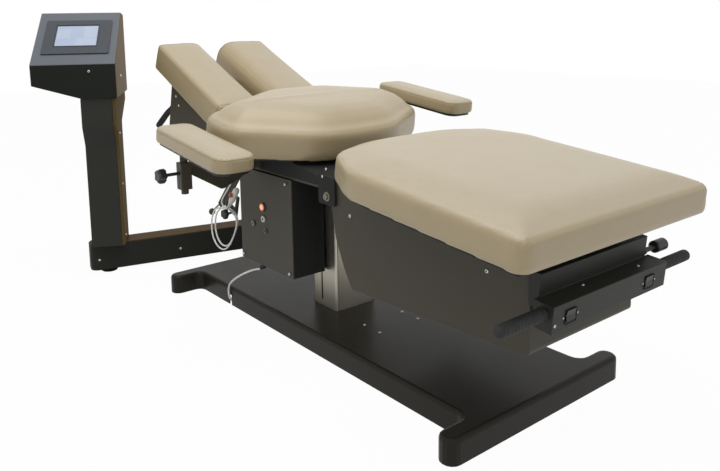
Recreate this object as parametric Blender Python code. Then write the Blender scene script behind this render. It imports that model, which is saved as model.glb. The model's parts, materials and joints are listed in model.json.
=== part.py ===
"""Traction table: a lift-column treatment table with a sliding leg section, a raised head section, armrests and a console.

World frame: +X to the foot end, +Y to the far side, +Z up. The origin is on the floor under the middle of the
table's own outline, without its mains lead.
"""
import math

import bmesh
import bpy
from mathutils import Matrix, Vector

# Driving dimensions, in metres. Places are measured from the base's middle on the floor.
GAP = 0.0003                      # left between pieces that touch
OVERRUN = 0.020                   # how far a cut runs past the face that it opens
SHEET = 0.004                     # sheet metal of covers and boxes
EDGE = 0.002                      # broken edges of machined and folded pieces
PIN_CLEARANCE = 0.0005            # round a pin in its bore

# Base
BASE_LENGTH = 1.400
BASE_HEIGHT = 0.066
SPINE_WIDTH = 0.438
FOOT_WIDTH = 0.056
FOOT_LENGTH = 0.643
FOOT_FILLET = 0.026
COVER_LIFT = 0.003
COVER_EDGE = 0.011
RAIL_BOTTOM = 0.016
RAIL_WIDTH = 0.030
RAIL_SPREAD = 0.250
FRAME_PLATE = 0.008
FLANGE_THICKNESS = 0.0090
FLANGE_MARGIN = 0.018
GLIDE_RADIUS = 0.013
GLIDE_INSET = 0.032
NOTCH_WIDTH = 0.016
NOTCH_HEIGHT = 0.038
FAR_NOTCH_HEIGHT = 0.012

# Lift column
COLUMN_X = -0.088
COLUMN_DEPTH = 0.124
COLUMN_WIDTH = 0.150
COLUMN_WALL = 0.006
COLUMN_CORNER = 0.008
COLUMN_TOP = 0.400
COLUMN_HOLE = 0.003               # the cover's clearance round the column
COLUMN_SLOT = 0.007
COLUMN_SLOT_X = -0.102
STAGE_GAP = 0.0008
INNER_BOTTOM = 0.150
LIFT_TRAVEL = 0.150

# Console arm
ARM_YAW = math.radians(-13.3)
ARM_PIVOT_X = -0.939
ARM_PIVOT_Y = 0.172
ARM_WIDTH = 0.097
ARM_BOTTOM = 0.018
ARM_TOP = 0.117
ARM_REACH = 0.655                 # from the pivot to the near end
ARM_CORNER = 0.030
PIVOT_PLATE_LIFT = 0.004
PIVOT_PLATE_THICKNESS = 0.011
PIVOT_PLATE_WIDTH = 0.080
PIVOT_PLATE_ROOT = -0.560
PIVOT_PIN_RADIUS = 0.0125
PIVOT_PIN_HEAD = 0.020
PIVOT_HEAD_HEIGHT = 0.007
LEVEL_FOOT_INSET = 0.070          # from the arm's near end
LEVEL_FOOT_REACH = ARM_REACH - LEVEL_FOOT_INSET
LEVEL_FOOT_RADIUS = 0.030
LEVEL_FOOT_STEM = 0.008
LEVEL_FOOT_HEIGHT = 0.009

# Console
CONSOLE_YAW = math.radians(-28)
CONSOLE_INSET = 0.07093           # its turning axis, from the arm's near end
CONSOLE_SIDE = 0.01867
CONSOLE_REACH = ARM_REACH - CONSOLE_INSET
CONSOLE_X = ARM_PIVOT_X + CONSOLE_SIDE * math.cos(ARM_YAW) + CONSOLE_REACH * math.sin(ARM_YAW)
CONSOLE_Y = ARM_PIVOT_Y + CONSOLE_SIDE * math.sin(ARM_YAW) - CONSOLE_REACH * math.cos(ARM_YAW)
PEDESTAL_DEPTH = 0.125
PEDESTAL_LEFT = -0.052
PEDESTAL_RIGHT = 0.057
PANEL_THICKNESS = 0.011
UPPER_FRONT = 0.1025              # from the console's turning axis
UPPER_BACK = -0.2075
UPPER_BOTTOM = 0.650
SHOULDER_DROP = 0.070             # from the upper part's underside to the shoulder
WAIST_DROP = 0.075                # from the shoulder to the waist
PEDESTAL_SHOULDER = UPPER_BOTTOM - SHOULDER_DROP
PEDESTAL_WAIST = PEDESTAL_SHOULDER - WAIST_DROP
HEAD_LEFT = -0.213
HEAD_RIGHT = 0.078
HEAD_UNDER = 0.685
HEAD_TIP = 0.737
HEAD_LIP = 0.812
HEAD_TOP = 0.995
HEAD_FRONT = 0.1175
HEAD_CREST = -0.1425
HEAD_STEP = -0.043                # where the near underside starts to rise
BEZEL_LEFT = -0.183
BEZEL_RIGHT = 0.052
BEZEL_BOTTOM = 0.056
BEZEL_TOP = 0.261
BEZEL_THICKNESS = 0.005
BEZEL_CORNER = 0.006
SCREEN_LEFT = -0.141
SCREEN_RIGHT = 0.004
SCREEN_BOTTOM = 0.103
SCREEN_TOP = 0.225
SCREEN_THICKNESS = 0.003

# Lifted body
FRAME_SIDE = 0.195
FRAME_BOTTOM = 0.500
FRAME_HEAD = -0.400
FRAME_FOOT = 0.085
HEAD_PLATE_THICKNESS = 0.010
HINGE_X = 0.105
HINGE_Z = 0.475
HINGE_RADIUS = 0.008
HINGE_PLATE = 0.0065
HINGE_PLATE_RISE = 0.092
HINGE_PLATE_FOOT = 0.035
HINGE_PLATE_HEAD = 0.040
HINGE_PLATE_DROP = 0.024
BOX_HEAD = -0.376
BOX_FOOT = -0.075
BOX_NEAR = -0.200
BOX_FAR = -0.083
BOX_BOTTOM = 0.186
BOX_WALL = 0.003
FACE_THICKNESS = 0.0035
BUTTON_X = -0.237
BUTTON_Z = 0.379
BUTTON_RADIUS = 0.009
BUTTON_BEZEL = 0.0145
BUTTON_RISE = 0.008
BUTTON_BEZEL_RISE = 0.004
BUTTON_TRAVEL = 0.003
SOCKET_X = -0.234
SOCKET_Z = 0.341
SOCKET_RADIUS = 0.0105
SOCKET_BORE = 0.004
SOCKET_RISE = 0.005
JACK_X = -0.296
JACK_Z = 0.315
JACK_RADIUS = 0.009
KEY_X = -0.224
KEY_Z = 0.304
KEY_RADIUS = 0.008
KEY_RISE = 0.003

# Hook for the hand switch, beside the control box
HOOK_Y = -0.178                   # its front face
HOOK_THICKNESS = 0.006
HOOK_TAB = 0.012
HOOK_TAB_HEIGHT = 0.045
HOOK_TAB_WIDTH = 0.030
HOOK_STEM = 0.004
HOOK_KNOB = 0.0175
HOOK_KNOB_X = -0.466
HOOK_KNOB_Z = 0.312
HOOK_STEM_LENGTH = 0.024
HOOK_KNOB_DEPTH = 0.018
HOOK_END_X = -0.628
HOOK_END_Z = 0.282
HOOK_END_KNOB = 0.012
SWITCH_TAIL_X = -0.462
SWITCH_TAIL_Z = 0.337
SWITCH_TIP_X = -0.402
SWITCH_TIP_Z = 0.408
SWITCH_Y = -0.197
SWITCH_RADIUS = 0.011
SWITCH_TAIL_RADIUS = 0.005
SWITCH_BUTTON = 0.006
SWITCH_BUTTON_RISE = 0.002
SWITCH_BUTTON_TRAVEL = 0.0015
SWITCH_BUTTON_DEPTH = 0.006

# Thoracic section
THORAX_X = -0.170
THORAX_Z = 0.716
THORAX_TILT = math.radians(9)
THORAX_CROWN = 0.046
THORAX_THICKNESS = 0.142
THORAX_REACH = 0.140
THORAX_FOOT_ROUND = 0.250
THORAX_SIDE_ROUND = 0.100
THORAX_HEAD_ROUND = 0.200
THORAX_FOOT = 0.205
THORAX_HEAD = 0.260
THORAX_HALF_WIDTH = 0.378
BOARD_THICKNESS = 0.0120
BOARD_MARGIN = 0.040

# Leg section, measured from its hinge
LEG_TILT = math.radians(5.82)
LEG_FOOT = 0.795
LEG_LENGTH = 0.735
LEG_HALF_WIDTH = 0.358
LEG_BOTTOM = 0.0950
LEG_THICKNESS = 0.095
LEG_CROWN = 0.018
LEG_REACH = 0.120
LEG_HEAD_ROUND = 0.250
LEG_NECK_ROUND = 0.100
LEG_SIDE_ROUND = 0.150
LEG_FOOT_ROUND = 0.032
LEG_BOARD_THICKNESS = 0.0165
LEG_FRAME_DEPTH = 0.0272
LEG_FRAME_SIDE = 0.140
LEG_FRAME_RAIL = 0.030
LEG_FRAME_LENGTH = 0.690
LUG_HALF = 0.016
LUG_THICKNESS = 0.020
HOUSING_SIDE = 0.193
HOUSING_HEAD = 0.020
HOUSING_TOP = 0.050
HOUSING_DEPTH = 0.283
HOUSING_LENGTH = 0.690
TRACTION_TRAVEL = 0.100
TAB_X = 0.660
TAB_WIDTH = 0.040
TAB_DROP = 0.030
TAB_THICKNESS = 0.003
TAB_OFF = 0.0035                  # the tab's clearance to the housing's side
HANDLE_X = 0.723
HANDLE_DEPTH = 0.050
HANDLE_TOP = -0.005
HANDLE_HEIGHT = 0.060
HANDLE_SIDE = 0.215
CROSS_TOP = 0.045
CROSS_DEPTH = 0.016
CROSS_SIDE = 0.200
GRIP_RADIUS = 0.015
GRIP_LENGTH = 0.140
GRIP_X = HANDLE_X + HANDLE_DEPTH / 2
GRIP_Z = -0.0285
ROCKER_WIDTH = 0.030
ROCKER_HEIGHT = 0.024
ROCKER_DEPTH = 0.012
ROCKER_RISE = 0.003
ROCKER_NEAR_Y = -0.155
ROCKER_FAR_Y = 0.142
ROCKER_Z = -0.035
ROCKER_GAP = 0.0008
LOCK_SETBACK = 0.006              # from the handle's back
LOCK_X = HANDLE_X - LOCK_SETBACK
LOCK_Z = 0.003
LOCK_STEM = 0.006
LOCK_STEM_LENGTH = 0.050
LOCK_KNOB = 0.015
LOCK_KNOB_LENGTH = 0.048

# Head section, measured from its hinge
HEAD_X = -0.425
HEAD_Z = 0.548
HEAD_TILT = math.radians(23.5)
HEAD_PIN_RADIUS = 0.008
HEAD_ARM_SIDE = 0.100
HEAD_LUG_THICKNESS = 0.020
HEAD_LUG_TOP = 0.022
HEAD_BOSS = 0.018
WEDGE_SIDE = 0.215
WEDGE_TOP = 0.0077
WEDGE_LENGTH = 0.4376
WEDGE_DEPTH = 0.160
WEDGE_FOOT = 0.0716
PAD_HEAD = 0.580
PAD_FOOT = 0.075
PAD_BOTTOM = 0.008
PAD_TOP = 0.114
PAD_CROWN = 0.004
PAD_INNER = 0.028
PAD_OUTER = 0.226
PAD_INNER_ROUND = 0.060
PAD_CROWN_ROUND = 0.058
PAD_OUTER_ROUND = 0.014
PAD_END_ROUND = 0.012
LEVER_SHARE = 0.42                # how far down the end face the lever turns
LEVER_Y = -0.190
LEVER_BOSS = 0.014
LEVER_BOSS_HEIGHT = 0.016
LEVER_RADIUS = 0.0085
LEVER_LENGTH = 0.150

# Armrests
REST_LENGTH = 0.404
REST_WIDTH = 0.124
REST_PAD = 0.047
REST_BOARD = 0.008
REST_BOARD_MARGIN = 0.012
REST_CROWN = 0.004
REST_ROUND = 0.040
REST_TILT = math.radians(6.7)
REST_Y = 0.456
REST_NEAR_X = -0.120
REST_NEAR_Z = 0.642
REST_FAR_X = -0.190
REST_FAR_Z = 0.705
POST_NEAR_X = -0.280
POST_FAR_X = -0.350
POST_Y = 0.440
POST_RADIUS = 0.011
POST_LENGTH = 0.140
REST_BOSS = 0.018
REST_BOSS_DROP = 0.012
COLLAR_SIDE = 0.034
COLLAR_BOTTOM = 0.468
COLLAR_TOP = 0.548
BRACKET_BAR = 0.036
BRACKET_BAR_DEPTH = 0.012
BRACKET_TOP = 0.545
BRACKET_WEB = 0.010
BRACKET_TIP_Y = 0.312
BRACKET_TIP_Z = 0.450
CLAMP_Z = 0.517
CLAMP_STEM = 0.005
CLAMP_STEM_LENGTH = 0.043
CLAMP_KNOB = 0.0225
CLAMP_KNOB_DEPTH = 0.025

# Mains lead and hand switch cord
LEAD_DIAMETER = 0.007
LEAD_FLOOR = 0.0003               # clearance to the floor
GLAND_X = -0.262
GLAND_Y = -0.186
GLAND_RADIUS = 0.010
GLAND_HEIGHT = 0.010
BOOT_LENGTH = 0.028
BOOT_RADIUS = 0.0075
BOOT_END_RADIUS = 0.0050
BOOT_PITCH = math.radians(32)
COIL_X = 0.056
COIL_Y = 0.297
COIL_OUTER = 0.056
COIL_PITCH = 0.0080
COIL_LIFT = 0.0076
COIL_STRAIGHT = 0.007
COIL_STEPS = 20
PLUG_RADIUS = 0.018
PLUG_LENGTH = 0.034
PLUG_TAIL = 0.026
PLUG_TAIL_RADIUS = 0.0065
BLADE_LENGTH = 0.017
BLADE_WIDTH = 0.0063
BLADE_THICKNESS = 0.0016
BLADE_SPREAD = 0.0064
PRONG_RADIUS = 0.0024
PRONG_DROP = 0.0085
CORD_DIAMETER = 0.0055
CORD_STEP_SHARE = 3.2               # of the cord's diameter
LEAD_STEP_SHARE = 2.8
LEAD_IN_X = -0.437                # where the lead goes under the cover
LEAD_OUT_X = -0.008               # and where it comes out

# Outlines as shares of the sizes that they follow
THORAX_SHARES = ((1.0, -0.35), (1.0, 0.35), (0.27, 1.0), (-0.44, 1.0), (-1.0, 0.32), (-1.0, -0.32),
                 (-0.44, -1.0), (0.27, -1.0))
LEG_SHARES = ((1.0, 0.40), (1.0, -0.40), (0.93, -0.78), (0.72, -1.0), (0.0, -0.99), (0.0, 0.99),
              (0.72, 1.0), (0.93, 0.78))
HOUSING_SHARES = ((0.0, 0.0), (0.010, -0.184), (0.041, -0.572), (0.090, -0.823), (0.148, -1.0), (1.034, -0.700),
                  (1.0, 0.0))
CHEEK_SHARES = ((-0.052, 0.0), (-0.022, -0.184), (0.028, -0.572), (0.090, -0.823), (0.120, -0.572), (0.120, 0.0))
HEAD_ARM_SHARES = ((-0.435, -0.35), (-0.397, -0.562), (0.043, -0.037), (0.018, 0.118), (-0.075, 0.006),
                   (-0.164, 0.012), (-0.300, -0.16))
LEVER_DIRECTION = (-0.35, -0.21, -0.91)

# The hook's outline from its top, forward and up
HOOK_OUTLINE = ((-0.4045, 0.500), (-0.440, 0.500), (-0.455, 0.455), (-0.520, 0.384), (-0.575, 0.325),
                (-0.560, 0.312), (-0.525, 0.326), (-0.466, 0.300), (-0.450, 0.302), (-0.431, 0.369),
                (-0.442, 0.372), (-0.459, 0.326), (-0.503, 0.342), (-0.470, 0.384), (-0.4045, 0.455))

# Routes of the cords, chosen along the photographed ones
SWITCH_CORD_ROUTE = (
    (-0.3763, -0.1860, 0.470), (-0.383, -0.1860, 0.470), (-0.400, -0.1860, 0.464), (-0.447, -0.1855, 0.429),
    (-0.490, -0.1845, 0.388), (-0.525, -0.1840, 0.354), (-0.536, -0.1835, 0.336), (-0.528, -0.1830, 0.323),
    (-0.505, -0.1828, 0.321), (-0.467, -0.1828, 0.3205), (-0.438, -0.1830, 0.308), (-0.433, -0.1835, 0.284),
    (-0.452, -0.1840, 0.245), (-0.484, -0.1845, 0.203), (-0.520, -0.1850, 0.182), (-0.556, -0.1860, 0.187),
    (-0.580, -0.1870, 0.215), (-0.582, -0.1880, 0.258), (-0.562, -0.1888, 0.296), (-0.522, -0.1893, 0.318),
    (-0.468, -0.1897, 0.3210), (-0.434, -0.1900, 0.306), (-0.427, -0.1905, 0.279), (-0.446, -0.1915, 0.238),
    (-0.480, -0.1925, 0.194), (-0.522, -0.1935, 0.171), (-0.566, -0.1945, 0.178), (-0.593, -0.1955, 0.212),
    (-0.592, -0.1962, 0.262), (-0.566, -0.1968, 0.303), (-0.526, -0.1970, 0.320), (-0.488, -0.1970, 0.3215),
    (-0.4667, -0.1970, 0.3314), (-0.4623, -0.1970, 0.33665))
LEAD_ROUTE = (
    (-0.330, -0.190, 0.146), (-0.372, -0.194, 0.126), (-0.405, -0.200, 0.107), (-0.427, -0.2115, 0.089),
    (-0.4355, -0.2205, 0.074), (-0.437, -0.2245, 0.058), (-0.437, -0.2245, 0.044), (-0.437, -0.221, 0.027),
    (-0.436, -0.211, 0.0135), (-0.433, -0.194, 0.0062), (-0.424, -0.165, 0.0041), (-0.385, -0.090, 0.0040),
    (-0.290, 0.005, 0.0040), (-0.180, 0.075, 0.0040), (-0.080, 0.130, 0.0040), (-0.020, 0.190, 0.0040),
    (-0.001, 0.235, 0.0040))

LOOKS = {
    "black_sheet": ((0.030, 0.028, 0.026), 0.38, 0.0),
    "black_base": ((0.026, 0.024, 0.022), 0.30, 0.0),
    "bare_steel": ((0.55, 0.55, 0.56), 0.35, 1.0),
    "aluminium": ((0.62, 0.60, 0.56), 0.32, 1.0),
    "tan_vinyl": ((0.52, 0.45, 0.34), 0.48, 0.0),
    "birch_ply": ((0.50, 0.38, 0.24), 0.65, 0.0),
    "black_plastic": ((0.020, 0.020, 0.022), 0.45, 0.0),
    "black_rubber": ((0.018, 0.018, 0.018), 0.80, 0.0),
    "grey_head": ((0.20, 0.21, 0.22), 0.40, 0.0),
    "bronze_panel": ((0.16, 0.115, 0.065), 0.42, 0.0),
    "dark_bezel": ((0.045, 0.047, 0.052), 0.35, 0.0),
    "screen_glass": ((0.48, 0.52, 0.64), 0.12, 0.0),
    "orange_plastic": ((0.85, 0.27, 0.06), 0.35, 0.0),
    "white_plastic": ((0.80, 0.79, 0.74), 0.40, 0.0),
    "red_plastic": ((0.40, 0.02, 0.03), 0.35, 0.0),
    "white_cord": ((0.78, 0.77, 0.72), 0.50, 0.0),
}


def clear_scene():
    for found in list(bpy.data.objects):
        bpy.data.objects.remove(found, do_unlink=True)


def look(name):
    """The named material, made the first time that it is asked for."""
    found = bpy.data.materials.get(name)
    if found:
        return found
    colour, roughness, metallic = LOOKS[name]
    made = bpy.data.materials.new(name)
    made.use_nodes = True
    shader = made.node_tree.nodes["Principled BSDF"]
    shader.inputs["Base Color"].default_value = (*colour, 1.0)
    shader.inputs["Roughness"].default_value = roughness
    shader.inputs["Metallic"].default_value = metallic
    made.diffuse_color = (*colour, 1.0)
    return made


def holder(name, place, tilt=0.0, yaw=0.0):
    """An empty that carries a tilted or turned section."""
    made = bpy.data.objects.new(name, None)
    made.location = place
    made.rotation_euler = (0.0, tilt, yaw)
    bpy.context.scene.collection.objects.link(made)
    return made


def add_object(name, work, material=None, parent=None, smooth_angle=math.radians(35)):
    bmesh.ops.recalc_face_normals(work, faces=work.faces)
    mesh = bpy.data.meshes.new(name)
    work.to_mesh(mesh)
    work.free()
    made = bpy.data.objects.new(name, mesh)
    bpy.context.scene.collection.objects.link(made)
    if material:
        mesh.materials.append(look(material))
    mesh.shade_smooth()
    mesh.set_sharp_from_angle(angle=smooth_angle)
    made.parent = parent
    return made


def boolean(target, tool, operation):
    tool.hide_render = True
    tool.display_type = "WIRE"
    step = target.modifiers.new(operation.lower(), "BOOLEAN")
    step.operation = operation
    step.object = tool
    return target


def cut(target, tool):
    return boolean(target, tool, "DIFFERENCE")


def weld(target, tool):
    return boolean(target, tool, "UNION")


def soften(target, width=EDGE, segments=1):
    step = target.modifiers.new("edges", "BEVEL")
    step.width = width
    step.segments = segments
    step.limit_method = "ANGLE"
    step.angle_limit = math.radians(40)
    return target


def inwards(corners, amount):
    """An outline's corners, counter-clockwise, moved inwards by the same amount on every side."""
    moved = []
    for index, corner in enumerate(corners):
        here = Vector(corner)
        before = (here - Vector(corners[index - 1])).normalized()
        after = (Vector(corners[(index + 1) % len(corners)]) - here).normalized()
        normal = Vector((-before.y, before.x))
        bisector = (normal + Vector((-after.y, after.x))).normalized()
        moved.append(here + bisector * (amount / bisector.dot(normal)))
    return moved


def rounded(corners, radii, amount=0.0, steps=6):
    """The counter-clockwise outline through the corners, an arc at each, moved inwards by an amount."""
    outline = []
    count = len(corners)
    moved = inwards(corners, amount)
    for index, here in enumerate(moved):
        before = (moved[index - 1] - here).normalized()
        after = (moved[(index + 1) % count] - here).normalized()
        turn = after.x * before.y - after.y * before.x
        radius = radii[index] if isinstance(radii, (list, tuple)) else radii
        if radius <= 0 or abs(turn) < 1e-6:
            outline.append(here)
            continue
        radius = max(radius - amount, radius * 0.15) if turn > 0 else radius + amount
        half = before.angle(after) / 2
        centre = here + (before + after).normalized() * (radius / math.sin(half))
        start = here + before * (radius / math.tan(half)) - centre
        sweep = math.copysign(math.pi - 2 * half, turn)
        for step in range(steps + 1):
            outline.append(centre + Matrix.Rotation(sweep * step / steps, 2) @ start)
    return outline


def along_z(point, height):
    return (point[0], point[1], height)


def along_y(point, height):
    return (point[0], height, point[1])


def along_x(point, height):
    return (height, point[0], point[1])


def stack(name, rings, place, material=None, parent=None, smooth_angle=math.radians(35)):
    """A closed solid through outlines of the same number of points, each at its own height."""
    work = bmesh.new()
    loops = [[work.verts.new(place(point, height)) for point in outline] for outline, height in rings]
    work.faces.new(list(reversed(loops[0])))
    work.faces.new(loops[-1])
    count = len(loops[0])
    for lower, upper in zip(loops, loops[1:]):
        for index in range(count):
            after = (index + 1) % count
            work.faces.new((lower[index], lower[after], upper[after], upper[index]))
    return add_object(name, work, material, parent, smooth_angle)


def prism(name, outline, place, low, high, material=None, parent=None):
    return stack(name, [(outline, low), (outline, high)], place, material, parent)


def block(name, low, high, material=None, parent=None):
    """A box between two corners."""
    outline = [(low[0], low[1]), (high[0], low[1]), (high[0], high[1]), (low[0], high[1])]
    return prism(name, outline, along_z, low[2], high[2], material, parent)


def oblong(half_length, half_width, middle=(0.0, 0.0)):
    """The corners of a rectangle round a middle."""
    x, y = middle
    return [(x - half_length, y - half_width), (x + half_length, y - half_width),
            (x + half_length, y + half_width), (x - half_length, y + half_width)]


def turned(name, profile, axis, centre, material=None, parent=None, segments=24):
    """A solid of revolution from (radius, height) pairs that run along its axis."""
    turn = Vector((0, 0, 1)).rotation_difference(Vector(axis).normalized()).to_matrix()
    origin = Vector(centre)
    circle = [(math.cos(math.tau * step / segments), math.sin(math.tau * step / segments))
              for step in range(segments)]
    rings = [([(radius * x, radius * y) for x, y in circle], height) for radius, height in profile]

    def place(point, height):
        return turn @ Vector((point[0], point[1], height)) + origin

    return stack(name, rings, place, material, parent)


def rod(name, start, end, radius, material=None, parent=None, edge=0.0, segments=24):
    """A round bar between two points, its ends chamfered by edge."""
    start, end = Vector(start), Vector(end)
    length = (end - start).length
    profile = [(radius, 0), (radius, length)]
    if edge:
        profile = [(radius - edge, 0), (radius, edge), (radius, length - edge), (radius - edge, length)]
    return turned(name, profile, end - start, start, material, parent, segments)


def ball(name, centre, radius, material=None, parent=None):
    """A ball with small flats at its poles."""
    turns = [math.radians(angle) for angle in range(-75, 76, 15)]
    profile = [(radius * math.cos(turn), radius * math.sin(turn)) for turn in turns]
    return turned(name, profile, (0, 0, 1), centre, material, parent, 16)


def star_knob(name, centre, axis, radius, depth, material, parent=None, lobes=5):
    """A clamp knob with rounded lobes, its edges drawn in at both faces."""
    turn = Vector((0, 0, 1)).rotation_difference(Vector(axis).normalized()).to_matrix()
    points = lobes * 8

    def outline(scale):
        made = []
        for step in range(points):
            angle = math.tau * step / points
            reach = radius * scale * (0.88 + 0.12 * math.cos(lobes * angle))
            made.append((reach * math.cos(angle), reach * math.sin(angle)))
        return made

    def place(point, height):
        return turn @ Vector((point[0], point[1], height)) + Vector(centre)

    shares = ((0.80, 0.0), (1.0, 0.22), (1.0, 0.78), (0.80, 1.0))
    return stack(name, [(outline(scale), depth * share) for scale, share in shares], place, material, parent)


def cushion(name, corners, radius, thickness, crown, reach, parent):
    """An upholstered block: sides drawn in at the flat underside, a round top edge and a crowned top.

    The crown's highest point is at height 0 of its holder.
    """
    edge = thickness * 0.2
    draw = edge * 0.25
    levels = [(draw, -thickness), (0.0, -thickness + edge * 0.7)]
    for share in (0.0, 0.25, 0.5, 0.75, 1.0):
        turn = math.radians(90) * share
        levels.append((edge * (1 - math.cos(turn)), -crown - edge * (1 - math.sin(turn))))
    for share in (0.2, 0.45, 0.75, 1.0):
        levels.append((edge + (reach - edge) * share, -crown + crown * (1 - (1 - share) ** 2)))
    rings = [(rounded(corners, radius, amount, 5), height) for amount, height in levels]
    return stack(name, rings, along_z, "tan_vinyl", parent, math.radians(60))


def tube(name, points, diameter, resolution, material):
    """A round cord through its points, with closed ends."""
    curve = bpy.data.curves.new(name, "CURVE")
    curve.dimensions = "3D"
    curve.bevel_depth = diameter / 2
    curve.bevel_resolution = resolution
    curve.use_fill_caps = True
    line = curve.splines.new("POLY")
    line.points.add(len(points) - 1)
    for target, point in zip(line.points, points):
        target.co = (*point, 1.0)
    line.use_smooth = True
    curve.materials.append(look(material))
    made = bpy.data.objects.new(name, curve)
    bpy.context.scene.collection.objects.link(made)
    return made


def smooth_route(route, spacing):
    """Evenly spaced points on a smooth curve through a route's own points, its first and last stretches straight."""
    route = [Vector(point) for point in route]
    fine = []
    for before, start, end, after in zip(route, route[1:], route[2:], route[3:]):
        for step in range(40):
            t = step / 40
            fine.append(0.5 * (2 * start + (end - before) * t
                               + (2 * before - 5 * start + 4 * end - after) * t ** 2
                               + (3 * start - before - 3 * end + after) * t ** 3))
    fine.append(route[-2])
    reach = [0.0]
    for here, there in zip(fine, fine[1:]):
        reach.append(reach[-1] + (there - here).length)
    count = round(reach[-1] / spacing)
    points = [route[0]]
    index = 0
    for step in range(count + 1):
        target = reach[-1] * step / count
        while index < len(reach) - 2 and reach[index + 1] < target:
            index += 1
        share = (target - reach[index]) / (reach[index + 1] - reach[index])
        points.append(fine[index].lerp(fine[index + 1], share))
    return points + [route[-1]]


# Base


def base_corners():
    """The base's outline from above: a wide spine between two cross feet."""
    end = BASE_LENGTH / 2
    neck = end - FOOT_WIDTH
    foot = FOOT_LENGTH / 2
    side = SPINE_WIDTH / 2
    right = [(neck, -side), (neck, -foot), (end, -foot), (end, foot), (neck, foot), (neck, side)]
    left = [(-x, -y) for x, y in right]
    return right + left


def base_radii():
    foot_round = FOOT_WIDTH * 0.48
    right = [FOOT_FILLET, foot_round, foot_round, foot_round, foot_round, FOOT_FILLET]
    return right + right


def base_cover():
    corners, radii = base_corners(), base_radii()
    levels = [(0.0, COVER_LIFT)]
    for share in (0.0, 0.33, 0.67, 1.0):
        turn = math.radians(90) * share
        levels.append((COVER_EDGE * (1 - math.cos(turn)), BASE_HEIGHT - COVER_EDGE * (1 - math.sin(turn))))
    rings = [(rounded(corners, radii, amount, 4), height) for amount, height in levels]
    cover = stack("base_cover", rings, along_z, "black_base")
    hollow = rounded(corners, radii, SHEET, 4)
    cut(cover, prism("cover_hollow", hollow, along_z, -OVERRUN, BASE_HEIGHT - SHEET))
    half_depth = COLUMN_DEPTH / 2 + COLUMN_HOLE
    half_width = COLUMN_WIDTH / 2 + COLUMN_HOLE
    hole = rounded(oblong(half_depth, half_width, (COLUMN_X, 0)), COLUMN_CORNER, 0.0, 3)
    cut(cover, prism("cover_column_hole", hole, along_z, BASE_HEIGHT - SHEET - OVERRUN, BASE_HEIGHT + OVERRUN))
    side = SPINE_WIDTH / 2
    near = block("cover_near_notch", (LEAD_IN_X - NOTCH_WIDTH / 2, -side - OVERRUN, -OVERRUN),
                 (LEAD_IN_X + NOTCH_WIDTH / 2, -side + OVERRUN, NOTCH_HEIGHT))
    far = block("cover_far_notch", (LEAD_OUT_X - NOTCH_WIDTH / 2, side - OVERRUN, -OVERRUN),
                (LEAD_OUT_X + NOTCH_WIDTH / 2, side + OVERRUN, FAR_NOTCH_HEIGHT))
    arm = prism("cover_arm_notch", pivot_plate_outline(COLUMN_HOLE), along_z, -OVERRUN,
                PIVOT_PLATE_LIFT + PIVOT_PLATE_THICKNESS + GAP)
    for notch in (near, far, arm):
        cut(cover, notch)
    return cover


def base_frame():
    """Two long rails, two cross rails in the feet and the plate under the column, welded."""
    top = BASE_HEIGHT - SHEET - GAP
    reach = BASE_LENGTH / 2 - SHEET - GAP
    foot_inner = BASE_LENGTH / 2 - FOOT_WIDTH + SHEET + GAP
    foot_side = FOOT_LENGTH / 2 - FOOT_WIDTH / 2
    frame = block("base_frame", (-reach + EDGE, RAIL_SPREAD / 2, RAIL_BOTTOM),
                  (reach - EDGE, RAIL_SPREAD / 2 + RAIL_WIDTH, top), "black_sheet")
    near = block("frame_near_rail", (-reach + EDGE, -RAIL_SPREAD / 2 - RAIL_WIDTH, RAIL_BOTTOM),
                 (reach - EDGE, -RAIL_SPREAD / 2, top))
    weld(frame, near)
    for side in (-1, 1):
        low, high = sorted((side * foot_inner, side * reach))
        rail = block("frame_foot_rail", (low, -foot_side, RAIL_BOTTOM + EDGE), (high, foot_side, top))
        weld(frame, rail)
    plate_top = top - FLANGE_THICKNESS - GAP
    plate_half = COLUMN_DEPTH / 2 + FLANGE_MARGIN
    plate = block("frame_column_plate",
                  (COLUMN_X - plate_half, -RAIL_SPREAD / 2 - EDGE, plate_top - FRAME_PLATE),
                  (COLUMN_X + plate_half, RAIL_SPREAD / 2 + EDGE, plate_top))
    return weld(frame, plate)


def glides():
    places = BASE_LENGTH / 2 - FOOT_WIDTH / 2, FOOT_LENGTH / 2 - GLIDE_INSET
    for end, x in (("head", -places[0]), ("foot", places[0])):
        for side, y in (("near", -places[1]), ("far", places[1])):
            low = GLIDE_RADIUS * 0.9
            top = RAIL_BOTTOM + EDGE - GAP
            profile = [(low, 0), (GLIDE_RADIUS, EDGE), (GLIDE_RADIUS, top / 2), (low / 2, top / 2), (low / 2, top)]
            turned(f"glide_{side}_{end}", profile, (0, 0, 1), (x, y, 0), "black_rubber")


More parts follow.
